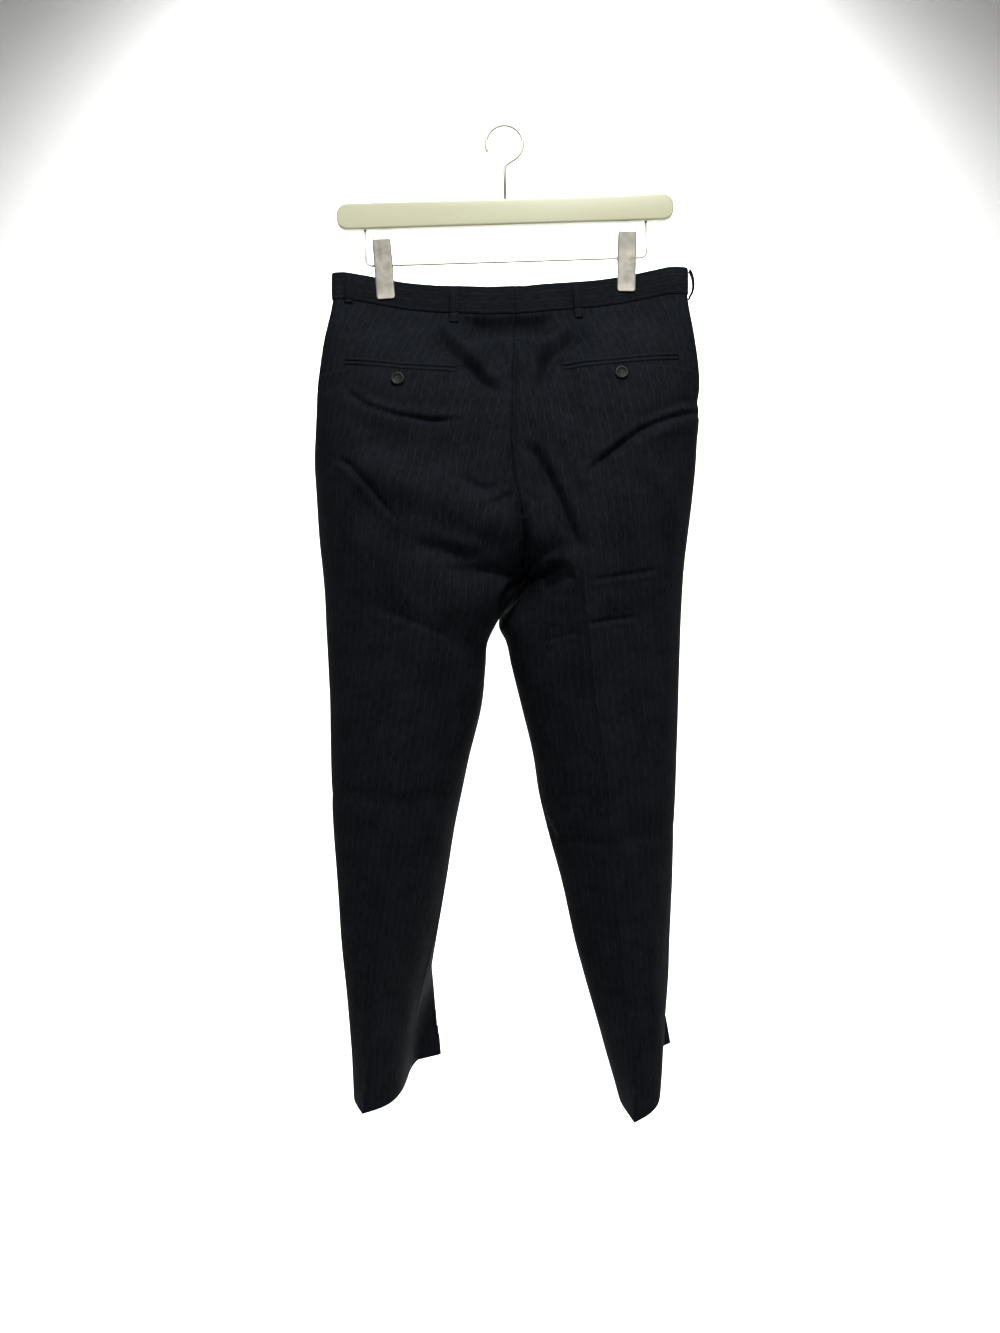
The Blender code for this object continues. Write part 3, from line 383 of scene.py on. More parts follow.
def mottled(name, constants, cloud, colours, rough=None, bump=None, streak=None):
    """A material whose colour, and roughness if given, follow one noise.

    The cloud is the stretch, scale (waves a millimetre), detail and distortion of that noise.
    The bump is the same four of its own noise, then its depth in millimetres and its strength.
    The streak is the span of the noise over which the colour changes.
    """
    made, tree, shader = start_material(name, constants)
    spot = add_node(tree, "ShaderNodeTexCoord")["Object"]
    heights = []
    for stretch, scale, detail, distortion in [cloud] + ([bump[:4]] if bump else []):
        drawn = add_node(tree, "ShaderNodeMapping", (), {"Vector": spot, "Scale": stretch})[0]
        heights.append(add_node(tree, "ShaderNodeTexNoise", (), {
            "Vector": drawn, "Scale": scale / MM, "Detail": detail, "Distortion": distortion})[0])
    share = heights[0]
    if streak:
        share = add_node(tree, "ShaderNodeMapRange", (), {0: share, 1: streak[0], 2: streak[1]})[0]
    colour = add_node(tree, "ShaderNodeMix", {"data_type": "RGBA"},
                      {0: share, 6: linear(colours[0]), 7: linear(colours[1])})[2]
    link(tree, colour, shader, "Base Color")
    if rough:
        dull = add_node(tree, "ShaderNodeMapRange", (),
                        {0: heights[0], 1: 0.3, 2: 0.7, 3: rough[0], 4: rough[1]})[0]
        link(tree, dull, shader, "Roughness")
    if bump:
        raised = add_node(tree, "ShaderNodeBump", (), {
            "Height": heights[1], "Distance": bump[4] * MM, "Strength": bump[5]})[0]
        link(tree, raised, shader, "Normal")
    return made


EVEN = (1.0, 1.0, 1.0)
WORSTED = pinstriped_worsted()
# Dark spun polyester sewing thread, twisted: a little smoother and bluer than the wool.
THREAD = mottled("spun_polyester_thread", {"Roughness": 0.7, "Specular IOR Level": 0.1},
                 (EVEN, 2.2, 1.0, 0.0), ("#0E1016", "#232731"), bump=(EVEN, 2.2, 1.0, 0.0, 0.05, 1.0))
# Moulded and tumbled polyester button: near black with smoky streaks, softly polished.
BUTTON_PLASTIC = mottled("moulded_polyester_button", {"IOR": 1.5, "Specular IOR Level": 0.3},
                         (EVEN, 0.28, 4.0, 1.2), ("#0A0A0C", "#191A1D"), rough=(0.36, 0.5), streak=(0.4, 0.7))
# The same polyester in the dish, left unpolished and so duller; its colour is a little darker, which is
# painted shade for the dish's dark centre.
BUTTON_DISH_WITH_PAINTED_SHADE = mottled("matt_polyester_with_painted_dish_shade", {"Roughness": 0.55, "Specular IOR Level": 0.25},
                      (EVEN, 0.3, 3.0, 0.0), ("#08080A", "#17181B"))
# Beech bar sprayed with cream lacquer: even, softly glossy, a faint ripple of orange peel.
LACQUER = mottled("sprayed_cream_lacquer", {"IOR": 1.5, "Coat Weight": 0.4, "Coat Roughness": 0.18},
                  ((0.12, 1.0, 1.0), 0.05, 4.0, 0.0), ("#C4C4A2", "#CCCBAE"), rough=(0.32, 0.44),
                  bump=(EVEN, 0.4, 1.0, 0.0, 0.02, 0.4))
# Steel plated with satin nickel: warm grey metal, brushed along its length, finely scuffed.
NICKEL = mottled("brushed_satin_nickel", {"Metallic": 1.0}, (EVEN, 0.15, 5.0, 0.0),
                 ("#BDB8A8", "#D6D2C6"), rough=(0.42, 0.54),
                 bump=((1.0, 1.0, 0.03), 3.0, 3.0, 0.0, 0.02, 0.5))
# Moulded grey rubber pad: matt, faintly grained.
RUBBER = mottled("moulded_clip_rubber", {"Roughness": 0.8}, (EVEN, 1.5, 2.0, 0.0), ("#1C1C1C", "#2B2B2A"))
# Matt white paper, with a tooth that hardly shows.
PAPER = mottled("matt_white_paper", {"Roughness": 0.9, "Specular IOR Level": 0.1},
                (EVEN, 0.0015, 2.0, 0.0), ("#F6F6F4", "#F8F8F7"))


# ---------------------------------------------------------------- the cloth's form
STEPS = 60              # columns between two of the five places on a level
CROWD = 0.45            # how much the columns crowd towards seams and creases
KNEE = -640.0
LEVEL_STEPS = (2.0, 3.4)        # above and below the knee's level
HANDLE = 0.40           # a curve's handle, as a share of the straight way
WAIST_HANDLE = 0.75
HANDLE_LIMIT = 0.66
HEM_HANDLE = {"back": 0.25, "front": 0.45}      # how much squarer a hem stands than the rest of the leg
HEM_LEAD = 5.0
CURVE_POINTS = 257
CLEFT_REACH = 8.0
LEG_DEPTH = 90.0
CREASE_FROM = {"back": (-470.0, -600.0), "front": (-300.0, -600.0)}
INSEAM_FADE = 0.07      # share of the way round over which the folds die away at the inseam
TAIL_FADE = 0.22        # share of a fold's length over which it dies away at each end
TURN_TO_FRONT = (0.5, 0.56)
FOLDS_START = (205.0, 216.0)    # how far below the hook the folds begin, then the ripples
RIPPLES_START = (206.0, 236.0)
# Ripples as height, waves a millimetre across and down, and where the noise is read.
RIPPLES = ((1.1, 0.016, 0.006, 0.0), (0.35, 0.05, 0.022, 40.0))
# How the cloth rolls in beside a seam and rises beyond: lift, distance from the seam, reach.
SEAM_ROLL = ((-0.8, 0.0, 1.6), (0.18, 5.0, 3.0))
BAND_ROLL = (0.5, 2.2)          # how deep the band's seam pulls the cloth in, and its reach


def fade(value, start, end):
    """Nought before start, one after end, with a smooth ramp between them."""
    share = np.clip((np.asarray(value, float) - start) / (end - start), 0.0, 1.0)
    return share * share * (3.0 - 2.0 * share)


def bell(away, reach):
    return np.exp(-(away / reach) ** 2)


def along(rows, column, level):
    """A column of a table read smoothly between its rows, which go down in level."""
    knots = np.array([-row[0] for row in rows], float)
    values = np.array([row[column] for row in rows], float)
    slopes = np.gradient(values, knots)
    at = np.clip(-np.asarray(level, float), knots[0], knots[-1])
    index = np.clip(np.searchsorted(knots, at, side="right") - 1, 0, len(knots) - 2)
    span = knots[index + 1] - knots[index]
    s = (at - knots[index]) / span
    return (values[index] * (1 + 2 * s) * (1 - s) ** 2 + slopes[index] * span * s * (1 - s) ** 2
            + values[index + 1] * s * s * (3 - 2 * s) + slopes[index + 1] * span * s * s * (s - 1))


def unit(vectors):
    return vectors / np.maximum(np.linalg.norm(vectors, axis=-1, keepdims=True), 1e-9)


def run_of(points):
    """Length gone up to each point of a path, or of every row of a grid."""
    steps = np.linalg.norm(np.diff(points, axis=-2), axis=-1)
    return np.concatenate([np.zeros(steps.shape[:-1] + (1,)), np.cumsum(steps, axis=-1)], axis=-1)


def spots_at(path, run, at):
    """Points of a path at lengths along it."""
    return np.stack([np.interp(at, run, values) for values in path.T], axis=-1)


def turn(start, lead, arrive, end, share):
    """A cubic curve from start to end with two handles, at a share of its length."""
    dense = np.linspace(0.0, 1.0, CURVE_POINTS)[:, None]
    curve = (start * (1 - dense) ** 3 + 3 * lead * dense * (1 - dense) ** 2
             + 3 * arrive * dense ** 2 * (1 - dense) + end * dense ** 3)
    run = run_of(curve)
    return spots_at(curve, run, np.asarray(share) * run[-1])


def places(half, level):
    """The five places of a half at a level: centre back, back crease, side, front crease, front."""
    rows = HALVES[half]
    back, side, front = (
        np.array([along(rows, column, level), along(rows, column + 1, level)]) for column in (1, 3, 5))
    if level > FORK:
        under = math.sqrt(max(0.0, 1.0 - (max(0.0, SEAT - level) / (SEAT - FORK)) ** 2))
        x = along(CENTRE, 1, level)
        centre_back = np.array([x, along(CENTRE, 2, level) * under])
        centre_front = np.array([x, along(CENTRE, 3, level) * under])
    else:
        column = 1 if half == "left" else 3
        centre_back = np.array([along(INSEAM, column, level), along(INSEAM, column + 1, level)])
        centre_front = centre_back.copy()
    return centre_back, back, side, front, centre_front


def level_curve(half, level, share):
    """Points round one level of a half, from the centre back to the centre front."""
    centre_back, back, side, front, centre_front = places(half, level)
    outward = np.array([-1.0, 0.0]) if half == "left" else np.array([1.0, 0.0])
    forward = unit(front - back)
    cleft = float(fade(-level, -SEAT, -FORK - CLEFT_REACH))
    square = float(fade(-level, -HEM_START, -HEM + 10))
    inside, outside = square * (half == "left"), square * (half == "right")
    across = np.array([forward[1], -forward[0]])
    across = across if across @ outward > 0 else -across
    parts = []
    for centre, crease, towards, kind, sign in (
            (centre_back, back, -forward, "back", -1.0), (centre_front, front, forward, "front", 1.0)):
        sharp = float(fade(-level, *(-limit for limit in CREASE_FROM[kind])))
        ahead = HEM_LEAD * np.array([0.0, sign])
        inner = (HANDLE + HEM_HANDLE[kind] * inside) * np.linalg.norm(crease - centre)
        outer = (HANDLE + HEM_HANDLE[kind] * outside) * np.linalg.norm(crease - side)
        lead = centre + inner * unit((1 - cleft) * outward + cleft * towards + inside * ahead)
        wing = side + outer * unit(towards + outside * ahead) * (WAIST_HANDLE if level > SAG_END else 1.0)
        inner = min(inner, HANDLE_LIMIT * np.linalg.norm(lead - crease))
        outer = min(outer, HANDLE_LIMIT * np.linalg.norm(wing - crease))
        arrive = crease + inner * unit((1 - sharp) * -across + sharp * unit(lead - crease))
        leave = crease + outer * unit((1 - sharp) * across + sharp * unit(wing - crease))
        to_crease = turn(centre, lead, arrive, crease, share)
        to_side = turn(crease, leave, wing, side, share)
        parts.append(np.concatenate([to_crease, to_side[1:]]))
    return np.concatenate([parts[0], parts[1][::-1][1:]])


def waist_top(x):
    return np.interp(x, [row[0] for row in WAIST_TOP], [row[1] for row in WAIST_TOP])


def hang(half, level, curve):
    """Heights of a level's points: the waist sags between the clips and the hem slants."""
    sag = fade(level, SAG_END, WAIST_SEAM) * (waist_top(curve[:, 0]) - BAND_HEIGHT - WAIST_SEAM)
    slant = fade(-level, -HEM_START, -HEM) * HEM_SLANT[half] * curve[:, 1] / LEG_DEPTH
    return level + sag + slant


def distance_to(path, x, z):
    """Distance to a fold's path, positive on its left, and how near its nearer end is."""
    path = np.reshape(path, (-1, 2)).astype(float)
    best = np.full(x.shape, 1e9)
    best_run, side = np.zeros(x.shape), np.ones(x.shape)
    run = run_of(path)
    for start, end, gone, length in zip(path[:-1], path[1:], run, np.diff(run)):
        direction = (end - start) / length
        step = np.clip((x - start[0]) * direction[0] + (z - start[1]) * direction[1], 0.0, length)
        away = np.hypot(x - start[0] - direction[0] * step, z - start[1] - direction[1] * step)
        nearer = away < best
        best = np.where(nearer, away, best)
        best_run = np.where(nearer, gone + step, best_run)
        left = (x - start[0]) * -direction[1] + (z - start[1]) * direction[0]
        side = np.where(nearer, np.sign(left), side)
    return best * side, np.minimum(best_run, run[-1] - best_run) / run[-1]


def fold_height(points, around, closed):
    """How far the folds lift the cloth at each point; around runs from 0 at the back to 1."""
    x, z = points[..., 0], points[..., 2]
    lift = np.zeros(x.shape)
    ahead = fade(around, *TURN_TO_FRONT)
    for face, weight in (("back", 1.0 - ahead), ("front", ahead)):
        for depth, reach, path in FOLDS[face]:
            away, tail = distance_to(path, x, z)
            lift += depth * (0.35 + 0.65 * fade(tail, 0.0, TAIL_FADE)) * bell(away, reach) * weight
        for depth, reach, roll, path in CREASES[face]:
            away, tail = distance_to(path, x, z)
            shape = depth * bell(away, reach) + roll * bell(away / reach - 2.0, 1.2)
            lift += fade(tail, 0.0, TAIL_FADE) * shape * weight
    at_inseam = fade(np.minimum(around, 1.0 - around), 0.0, INSEAM_FADE)
    return np.where(closed[:, None], lift * at_inseam, lift)


def unevenness(points):
    """Small long ripples, as in any cloth that has been worn and hung."""
    lift = np.zeros(points.shape[0] * points.shape[1])
    for height, across, down, offset in RIPPLES:
        for number, (x, y, z) in enumerate(points.reshape(-1, 3)):
            lift[number] += height * noise.noise((x * across + offset, y * across, z * down))
    return lift.reshape(points.shape[:-1])


def normals(grids, closed):
    """Outward normals of both halves; neighbours are taken across the seams."""
    made = {}
    for half, other in (("left", "right"), ("right", "left")):
        own, far = grids[half], grids[other]
        before = np.where(closed[:, None], own[:, -2], far[:, 1])
        after = np.where(closed[:, None], own[:, 1], far[:, -2])
        wide = np.concatenate([before[:, None], own, after[:, None]], axis=1)
        across = unit(wide[:, 2:] - wide[:, 1:-1]) + unit(wide[:, 1:-1] - wide[:, :-2])
        down = np.gradient(own, axis=0)
        normal = unit(np.cross(across, down) if half == "left" else np.cross(down, across))
        shared = unit(normal[:, 0] + normal[:, -1])
        normal[closed, 0] = shared[closed]
        normal[closed, -1] = shared[closed]
        made[half] = normal
    return made


def crowded(steps):
    """Shares from 0 to 1 that lie closer together at both ends."""
    even = np.linspace(0.0, 1.0, steps + 1)
    return even - CROWD * np.sin(2 * math.pi * even) / (2 * math.pi)


def seam_dip(grid):
    """How far the cloth rolls in beside its seams, from the distance to the nearest seam."""
    run = run_of(grid)
    middle = run[:, [2 * STEPS]]
    away = np.minimum(np.minimum(run, run[:, -1:] - run), np.abs(run - middle))
    return sum(lift * bell(away - place, reach) for lift, place, reach in SEAM_ROLL)


LEVEL_ROWS = np.concatenate([
    [WAIST_SEAM + 4.0, WAIST_SEAM + 2.0],
    np.arange(WAIST_SEAM, KNEE, -LEVEL_STEPS[0]),
    np.linspace(KNEE, HEM, round((KNEE - HEM) / LEVEL_STEPS[1]) + 1)])
SEAM_ROW = 2


def cloth_form():
    """Outer points, outward normals and cloth coordinates of both halves."""
    levels = LEVEL_ROWS
    closed = levels <= FORK
    share = crowded(STEPS)
    around = np.concatenate([share, 1 + share[1:], 2 + share[1:], 3 + share[1:]])[None, :] / 4
    grids, charts = {}, {}
    for half in HALVES:
        rows = []
        for level in levels:
            curve = level_curve(half, level, share)
            rows.append(np.column_stack([curve, hang(half, level, curve)]))
        grids[half] = np.array(rows)
        charts[half] = cloth_chart(half, grids[half])
    plain = normals(grids, closed)
    edge = fade(np.minimum(around, 1.0 - around) * closed[:, None], 0.0, INSEAM_FADE)
    edge = np.where(closed[:, None], edge, 1.0) * fade(-levels, *RIPPLES_START)[:, None]
    for half, grid in grids.items():
        lift = fold_height(grid, around, closed) * fade(-levels, *FOLDS_START)[:, None] + seam_dip(grid)
        lift += unevenness(grid) * edge
        lift -= BAND_ROLL[0] * bell(levels - WAIST_SEAM, BAND_ROLL[1])[:, None]
        grids[half] = grid + plain[half] * lift[..., None]
    return grids, normals(grids, closed), charts


def cloth_chart(half, grid):
    """Distance across the grain and down the cloth for each point of the back and front panels."""
    run = run_of(grid)
    behind, before = run[:, :2 * STEPS + 1], run[:, 2 * STEPS:]
    start = behind[:, STEPS].copy()
    for row, level in enumerate(LEVEL_ROWS):
        if level > GRAIN[half][-1][0]:
            x = grid[row, :2 * STEPS + 1, 0]
            order = np.argsort(x)
            start[row] = np.interp(along(GRAIN[half], 1, level), x[order], behind[row, order])
    down = np.repeat(-LEVEL_ROWS[:, None], 2 * STEPS + 1, axis=1)
    return {"back": np.stack([behind - start[:, None], down], axis=-1),
            "front": np.stack([before - before[:, [STEPS]], down], axis=-1)}


# ---------------------------------------------------------------- mesh making
def link_piece(name, mesh, finish, node_names=()):
    """A named piece that rides on the part, stands for its solids and takes their finish."""
    piece = bpy.data.objects.new(name, mesh)
    bpy.context.scene.collection.objects.link(piece)
    mesh.materials.append(finish)
    mesh.shade_smooth()
    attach(piece, "root")
    if node_names:
        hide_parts(*node_names)
    return piece


def solid_piece(name, bm, finish, node_names=()):
    """A piece from closed shells, with their faces turned outwards."""
    bmesh.ops.recalc_face_normals(bm, faces=bm.faces)
    if bm.calc_volume(signed=True) < 0:
        bmesh.ops.reverse_faces(bm, faces=bm.faces)
    mesh = bpy.data.meshes.new(name)
    bm.to_mesh(mesh)
    bm.free()
    return link_piece(name, mesh, finish, node_names)


def sheet_mesh(name, points, chart, outward):
    """A grid of cloth through rows of points in millimetres, with its own cloth coordinates."""
    rows, columns = points.shape[:2]
    bm = bmesh.new()
    bmesh.ops.create_grid(bm, x_segments=columns - 1, y_segments=rows - 1, size=0.5)
    mesh = bpy.data.meshes.new(name)
    bm.to_mesh(mesh)
    bm.free()
    place = np.zeros(len(mesh.vertices) * 3)
    mesh.vertices.foreach_get("co", place)
    place = place.reshape(-1, 3)
    column = np.rint((place[:, 0] + 0.5) * (columns - 1)).astype(int)
    row = np.rint((place[:, 1] + 0.5) * (rows - 1)).astype(int)
    mesh.vertices.foreach_set("co", (points[row, column] * MM).ravel())
    corner = np.zeros(len(mesh.loops), int)
    mesh.loops.foreach_get("vertex_index", corner)
    layer = mesh.uv_layers.new(name="cloth")
    layer.data.foreach_set("uv", (chart[row[corner], column[corner]] * MM).ravel())
    mesh.update()
    middle = mesh.polygons[len(mesh.polygons) // 2]
    facing = outward[row[middle.vertices[0]], column[middle.vertices[0]]]
    if np.dot(np.array(middle.normal), facing) < 0:
        mesh.flip_normals()
    return mesh


def thicken(piece, thickness):
    """Gives a sheet its thickness on the side away from its face."""
    shell = piece.modifiers.new("cloth_thickness", "SOLIDIFY")
    shell.thickness = thickness * MM
    shell.offset = -1.0


def cloth_piece(name, points, chart, outward, node, thickness=0.0):
    """A piece of worsted through rows of points; one without thickness stays a single face."""
    piece = link_piece(name, sheet_mesh(name, points, chart, outward), WORSTED, [node])
    if thickness:
        thicken(piece, thickness)
    return piece


# ---------------------------------------------------------------- panels
HEM_TURN_ROWS = 11      # rows of the hem that is turned up inside, 37 mm in all
HEM_INSET = 1.6
HEM_FOLD = ((0.35, 0.25), (0.5, 0.7), (0.35, 1.15))     # drop below the edge, inset


def with_turned_hem(points, outward, chart):
    """Goes on past the hem's fold and up inside the leg."""
    up = unit(points[-9] - points[-1])
    rows = [points[-1] - up * drop - outward[-1] * inset for drop, inset in HEM_FOLD]
    faces = [-up] * len(HEM_FOLD)
    marks = [inset for _, inset in HEM_FOLD]
    for back in range(HEM_TURN_ROWS + 1):
        rise = max(0.5, back * LEVEL_STEPS[1])
        rows.append(points[-1 - back] + up * (0.5 if back == 0 else 0.0) - outward[-1 - back] * HEM_INSET)
        faces.append(-outward[-1 - back])
        marks.append(1.5 + rise)
    extra_chart = np.repeat(chart[-1:], len(rows), axis=0)
    extra_chart[..., 1] += np.array(marks)[:, None]
    return (np.concatenate([points, np.array(rows)]), np.concatenate([outward, np.array(faces)]),
            np.concatenate([chart, extra_chart]))


def flat_size(chart):
    """Greatest width and length of a piece's cut, and its area, in metres."""
    width = chart[..., 0].max() - chart[..., 0].min()
    length = chart[..., 1].max() - chart[..., 1].min()
    spans = np.abs(chart[:, -1, 0] - chart[:, 0, 0])
    area = np.sum((spans[1:] + spans[:-1]) / 2 * np.abs(np.diff(chart[:, 0, 1])))
    return (width * MM, length * MM), abs(area) * MM * MM


def make_panels(grids, outward, charts):
    """The four panels by node, each with its flat size and area."""
    made = {}
    for half in HALVES:
        for face, columns in (("back", slice(0, 2 * STEPS + 1)), ("front", slice(2 * STEPS, None))):
            node = face + "_" + half
            points, facing, chart = with_turned_hem(
                grids[half][:, columns], outward[half][:, columns], charts[half][face])
            made[node] = cloth_piece("cloth_" + node, points, chart, facing, node, CLOTH), flat_size(chart)
    return made


# ---------------------------------------------------------------- what lies on the panels
class Surface:
    """The outside of pieces already made, read by a straight line of sight."""

    SIGHT = {"back": Vector((0, 1, 0)), "front": Vector((0, -1, 0)), "side": Vector((-1, 0, 0))}

    def __init__(self, pieces):
        bm = bmesh.new()
        for piece in pieces:
            bm.from_mesh(piece.data)
        self.tree = BVHTree.FromBMesh(bm)
        bm.free()

    def at(self, face, x, z):
        """Point and outward normal in millimetres; on a side face the first number is y."""
        sight = self.SIGHT[face]
        nearest = None
        for step in (0.0, 0.6, -0.6):
            start = Vector((0, x, z + step)) if face == "side" else Vector((x, 0, z + step))
            hit, normal, _, reach = self.tree.ray_cast(start * MM - sight, sight)
            if hit is not None and (nearest is None or reach < nearest[2] - 1.5 * MM):
                nearest = (hit, normal, reach)
        if nearest is None:
            raise ValueError("nothing under " + face + str((x, z)))
        hit, normal, _ = nearest
        normal = normal if normal.dot(sight) < 0 else -normal
        point = np.array(hit) / MM
        point[2] = z
        return point, np.array((normal * 0.5 - sight * 0.5).normalized())


STRIP_ROWS, STRIP_COLUMNS = 8, 90
STRIP_SUNK = 0.1        # how far a strip's edges lie in the cloth
WELT_STANDS = 1.7
WELT_GAP = 0.2
EDGE_STANDS = 1.5
LAP_STANDS = 0.9


def strip_spots(path, width, count, rows, shift=0.0):
    """A grid of spots along a path, from one edge of a strip to the other."""
    path = np.array(path, float)
    run = run_of(path)
    at = np.linspace(0.0, run[-1], count + 1)
    line = spots_at(path, run, at)
    heading = unit(np.gradient(line, axis=0))
    side = np.stack([-heading[:, 1], heading[:, 0]], axis=-1)
    offsets = np.linspace(-width / 2, width / 2, rows + 1) + shift
    chart = np.stack(np.broadcast_arrays(offsets[:, None] - shift, at[None]), axis=-1)
    return line[None] + side[None] * offsets[:, None, None], chart


def lay(surface, face, spots, lifts):
    """Points over the cloth at a grid of spots, each lifted off by its own height."""
    points, facing = np.zeros(spots.shape[:2] + (3,)), np.zeros(spots.shape[:2] + (3,))
    for row in range(spots.shape[0]):
        for column in range(spots.shape[1]):
            point, normal = surface.at(face, *spots[row, column])
            points[row, column] = point + normal * lifts[row, column]
            facing[row, column] = normal
    return points, facing


def lay_strip(surface, face, path, width, height, name, node, shift=0.0):
    """A strip along a path, its long edges turned under and its ends rounded."""
    spots, chart = strip_spots(path, width, STRIP_COLUMNS, STRIP_ROWS, shift)
    across = np.sin(np.linspace(0.0, math.pi, STRIP_ROWS + 1)) ** 0.45
    from_end = np.minimum(np.arange(STRIP_COLUMNS + 1), np.arange(STRIP_COLUMNS, -1, -1))
    lifts = height * across[:, None] * np.minimum(1.0, 0.35 + from_end * 0.4)[None]
    points, facing = lay(surface, face, spots, lifts - STRIP_SUNK)
    return cloth_piece(name + node, points, chart, facing, node)


def make_welts(surface):
    """Two narrow jets meet along each pocket's mouth; each carries one stripe lengthways."""
    made = []
    for half, mouth in POCKETS.items():
        for edge, sign in (("upper", 1.0), ("lower", -1.0)):
            shift = (sign if half == "left" else -sign) * (WELT_HEIGHT + WELT_GAP) / 2
            node = "pocket_" + half + "_" + edge + "_welt"
            made.append(lay_strip(surface, "back", mouth, WELT_HEIGHT, WELT_STANDS, "jet_", node, shift))
    return made


def make_front_edges(surface):
    """The folded edges of the slant pockets in front."""
    return [lay_strip(surface, "front", path, FRONT_POCKET_WIDTH, EDGE_STANDS, "edge_",
                      "front_pocket_" + half) for half, path in FRONT_POCKETS.items()]


def fly_edge(share):
    """The fly's curved edge: x and height at a share of its length."""
    top = waist_top(0.0) - BAND_HEIGHT - FLY_START
    level = top - FLY_LENGTH * share
    turned = max(0.0, (share - 1.0 + FLY_CURVE) / FLY_CURVE)
    return along(CENTRE, 1, level) - FLY_WIDTH * math.sqrt(max(0.0, 1.0 - turned ** 2)), level


def make_fly(surface):
    """The fly's lap over the centre-front seam."""
    rows, columns = 90, 24
    spots, chart = np.zeros((rows + 1, columns + 1, 2)), np.zeros((rows + 1, columns + 1, 2))
    for row, share in enumerate(np.linspace(0.0, 1.0, rows + 1)):
        edge, level = fly_edge(share)
        near = along(CENTRE, 1, level) + FLY_LAP
        spots[row, :, 0] = np.linspace(near, min(edge, near - 2.0), columns + 1)
        spots[row, :, 1] = level
        chart[row, :, 0] = spots[row, :, 0] - near + STRIPE_PITCH / 2
        chart[row, :, 1] = -level
    lifts = np.full((rows + 1, columns + 1), LAP_STANDS)
    lifts[:, 0] = 0.1
    lifts[:, 1] = 0.7
    lifts[:, -1] = 0.0
    lifts[-1] = 0.0
    points, facing = lay(surface, "front", spots, lifts)
    return cloth_piece("lap_fly", points, chart, facing, "fly_lap", CLOTH)


def make_loops(surface):
    """Each belt loop is a flat folded strip that stands off the cloth between its sewn ends."""
    made = []
    rows, columns = 12, 48
    arch = np.sin(np.linspace(0.0, math.pi, columns + 1)) ** 0.7
    edge = np.sin(np.linspace(0.0, math.pi, rows + 1)) ** 0.3
    for name, face, top_x, low_x, above, below in LOOPS:
        seam = waist_top(216.0 if face == "side" else (top_x + low_x) / 2) - BAND_HEIGHT
        spots, chart = strip_spots(((top_x, seam + above), (low_x, seam - below)), LOOP_WIDTH, columns, rows)
        outward = -np.array(Surface.SIGHT[face])
        hits = lay(surface, face, spots, np.zeros(spots.shape[:2]))[0]
        reach = hits @ outward
        slack = LOOP_SLACK if face == "side" else 0.0
        stand = reach.max(axis=0) + 1.0 + (LOOP_ARCH + slack - 1.0) * arch
        lift = (stand[None] - reach) + 0.5 + 0.6 * edge[:, None]
        points = hits + outward * lift[..., None]
        facing = np.broadcast_to(outward, points.shape)
        made.append(cloth_piece("strip_" + name, points, chart, facing, name, LOOP_CLOTH + 0.3 * slack))
    return made


# ---------------------------------------------------------------- waistband
# The band's section from its lower edge up its face, over the top and down inside:
# share of its height, distance out from the cloth's face.
BAND_SECTION = (
    (-0.012, -0.5), (0.0, 0.2), (0.02, 0.65), (0.06, 0.8), (0.2, 0.95), (0.35, 1.0), (0.5, 1.0), (0.65, 1.0),
    (0.8, 0.95), (0.93, 0.8), (0.975, 0.55), (0.997, 0.0), (1.0, -0.5), (0.99, -1.0), (0.96, -1.35),
    (0.8, -1.4), (0.5, -1.4), (0.2, -1.4), (0.0, -1.4),
)
BAND_STANDS = 0.7       # how far the band's seam line stands off the cloth
BAND_CLOTH = 0.4
TAB_RISE = 6            # points over which the band climbs to its tab
FLAT_ON = np.array([1.0, 1.0, 0.0])     # takes the slope out of a normal


def make_waistband(grids, outward):
    """Both halves of the band, each with its flat size; the left one goes on as the tab."""
    made = []
    share, out = (np.array(BAND_SECTION)[:, [column]] for column in (0, 1))
    for half in HALVES:
        edge = grids[half][SEAM_ROW] + outward[half][SEAM_ROW] * BAND_STANDS
        normal = unit(outward[half][SEAM_ROW] * FLAT_ON)
        lap = np.zeros(len(edge))
        if half == "left":
            far_edge = grids["right"][SEAM_ROW][::-1] + outward["right"][SEAM_ROW][::-1] * BAND_STANDS
            run = np.linalg.norm(far_edge - far_edge[0], axis=1)
            tab = spots_at(far_edge, run, TAB_LENGTH * np.linspace(0.0, 1.0, 16)[1:])
            front = unit(outward["right"][SEAM_ROW][-1] * FLAT_ON)
            edge = np.concatenate([edge, tab])
            normal = np.concatenate([normal, np.repeat(front[None], len(tab), axis=0)])
            climb = np.linspace(0.2, 1.0, TAB_RISE)
            lap = np.concatenate([np.zeros(len(lap) - TAB_RISE), climb, np.ones(len(tab))])
        height = waist_top(edge[:, 0]) - edge[:, 2]
        raised = out + lap[None] * (BAND_WALL + 0.6)
        points = edge[None] + normal[None] * raised[..., None]
        points[..., 2] += height[None] * share
        span = run_of(edge)
        rise = run_of(np.hstack([share * BAND_HEIGHT, out]))
        chart = np.stack(np.broadcast_arrays(rise[:, None] - 4.0, span[None]), axis=-1)
        facing = np.broadcast_to(normal, points.shape)
        piece = cloth_piece("band_" + half, points, chart, facing, "waistband_" + half, BAND_CLOTH)
        made.append((piece, (span[-1] * MM, (rise[-1]) * MM)))
    return made


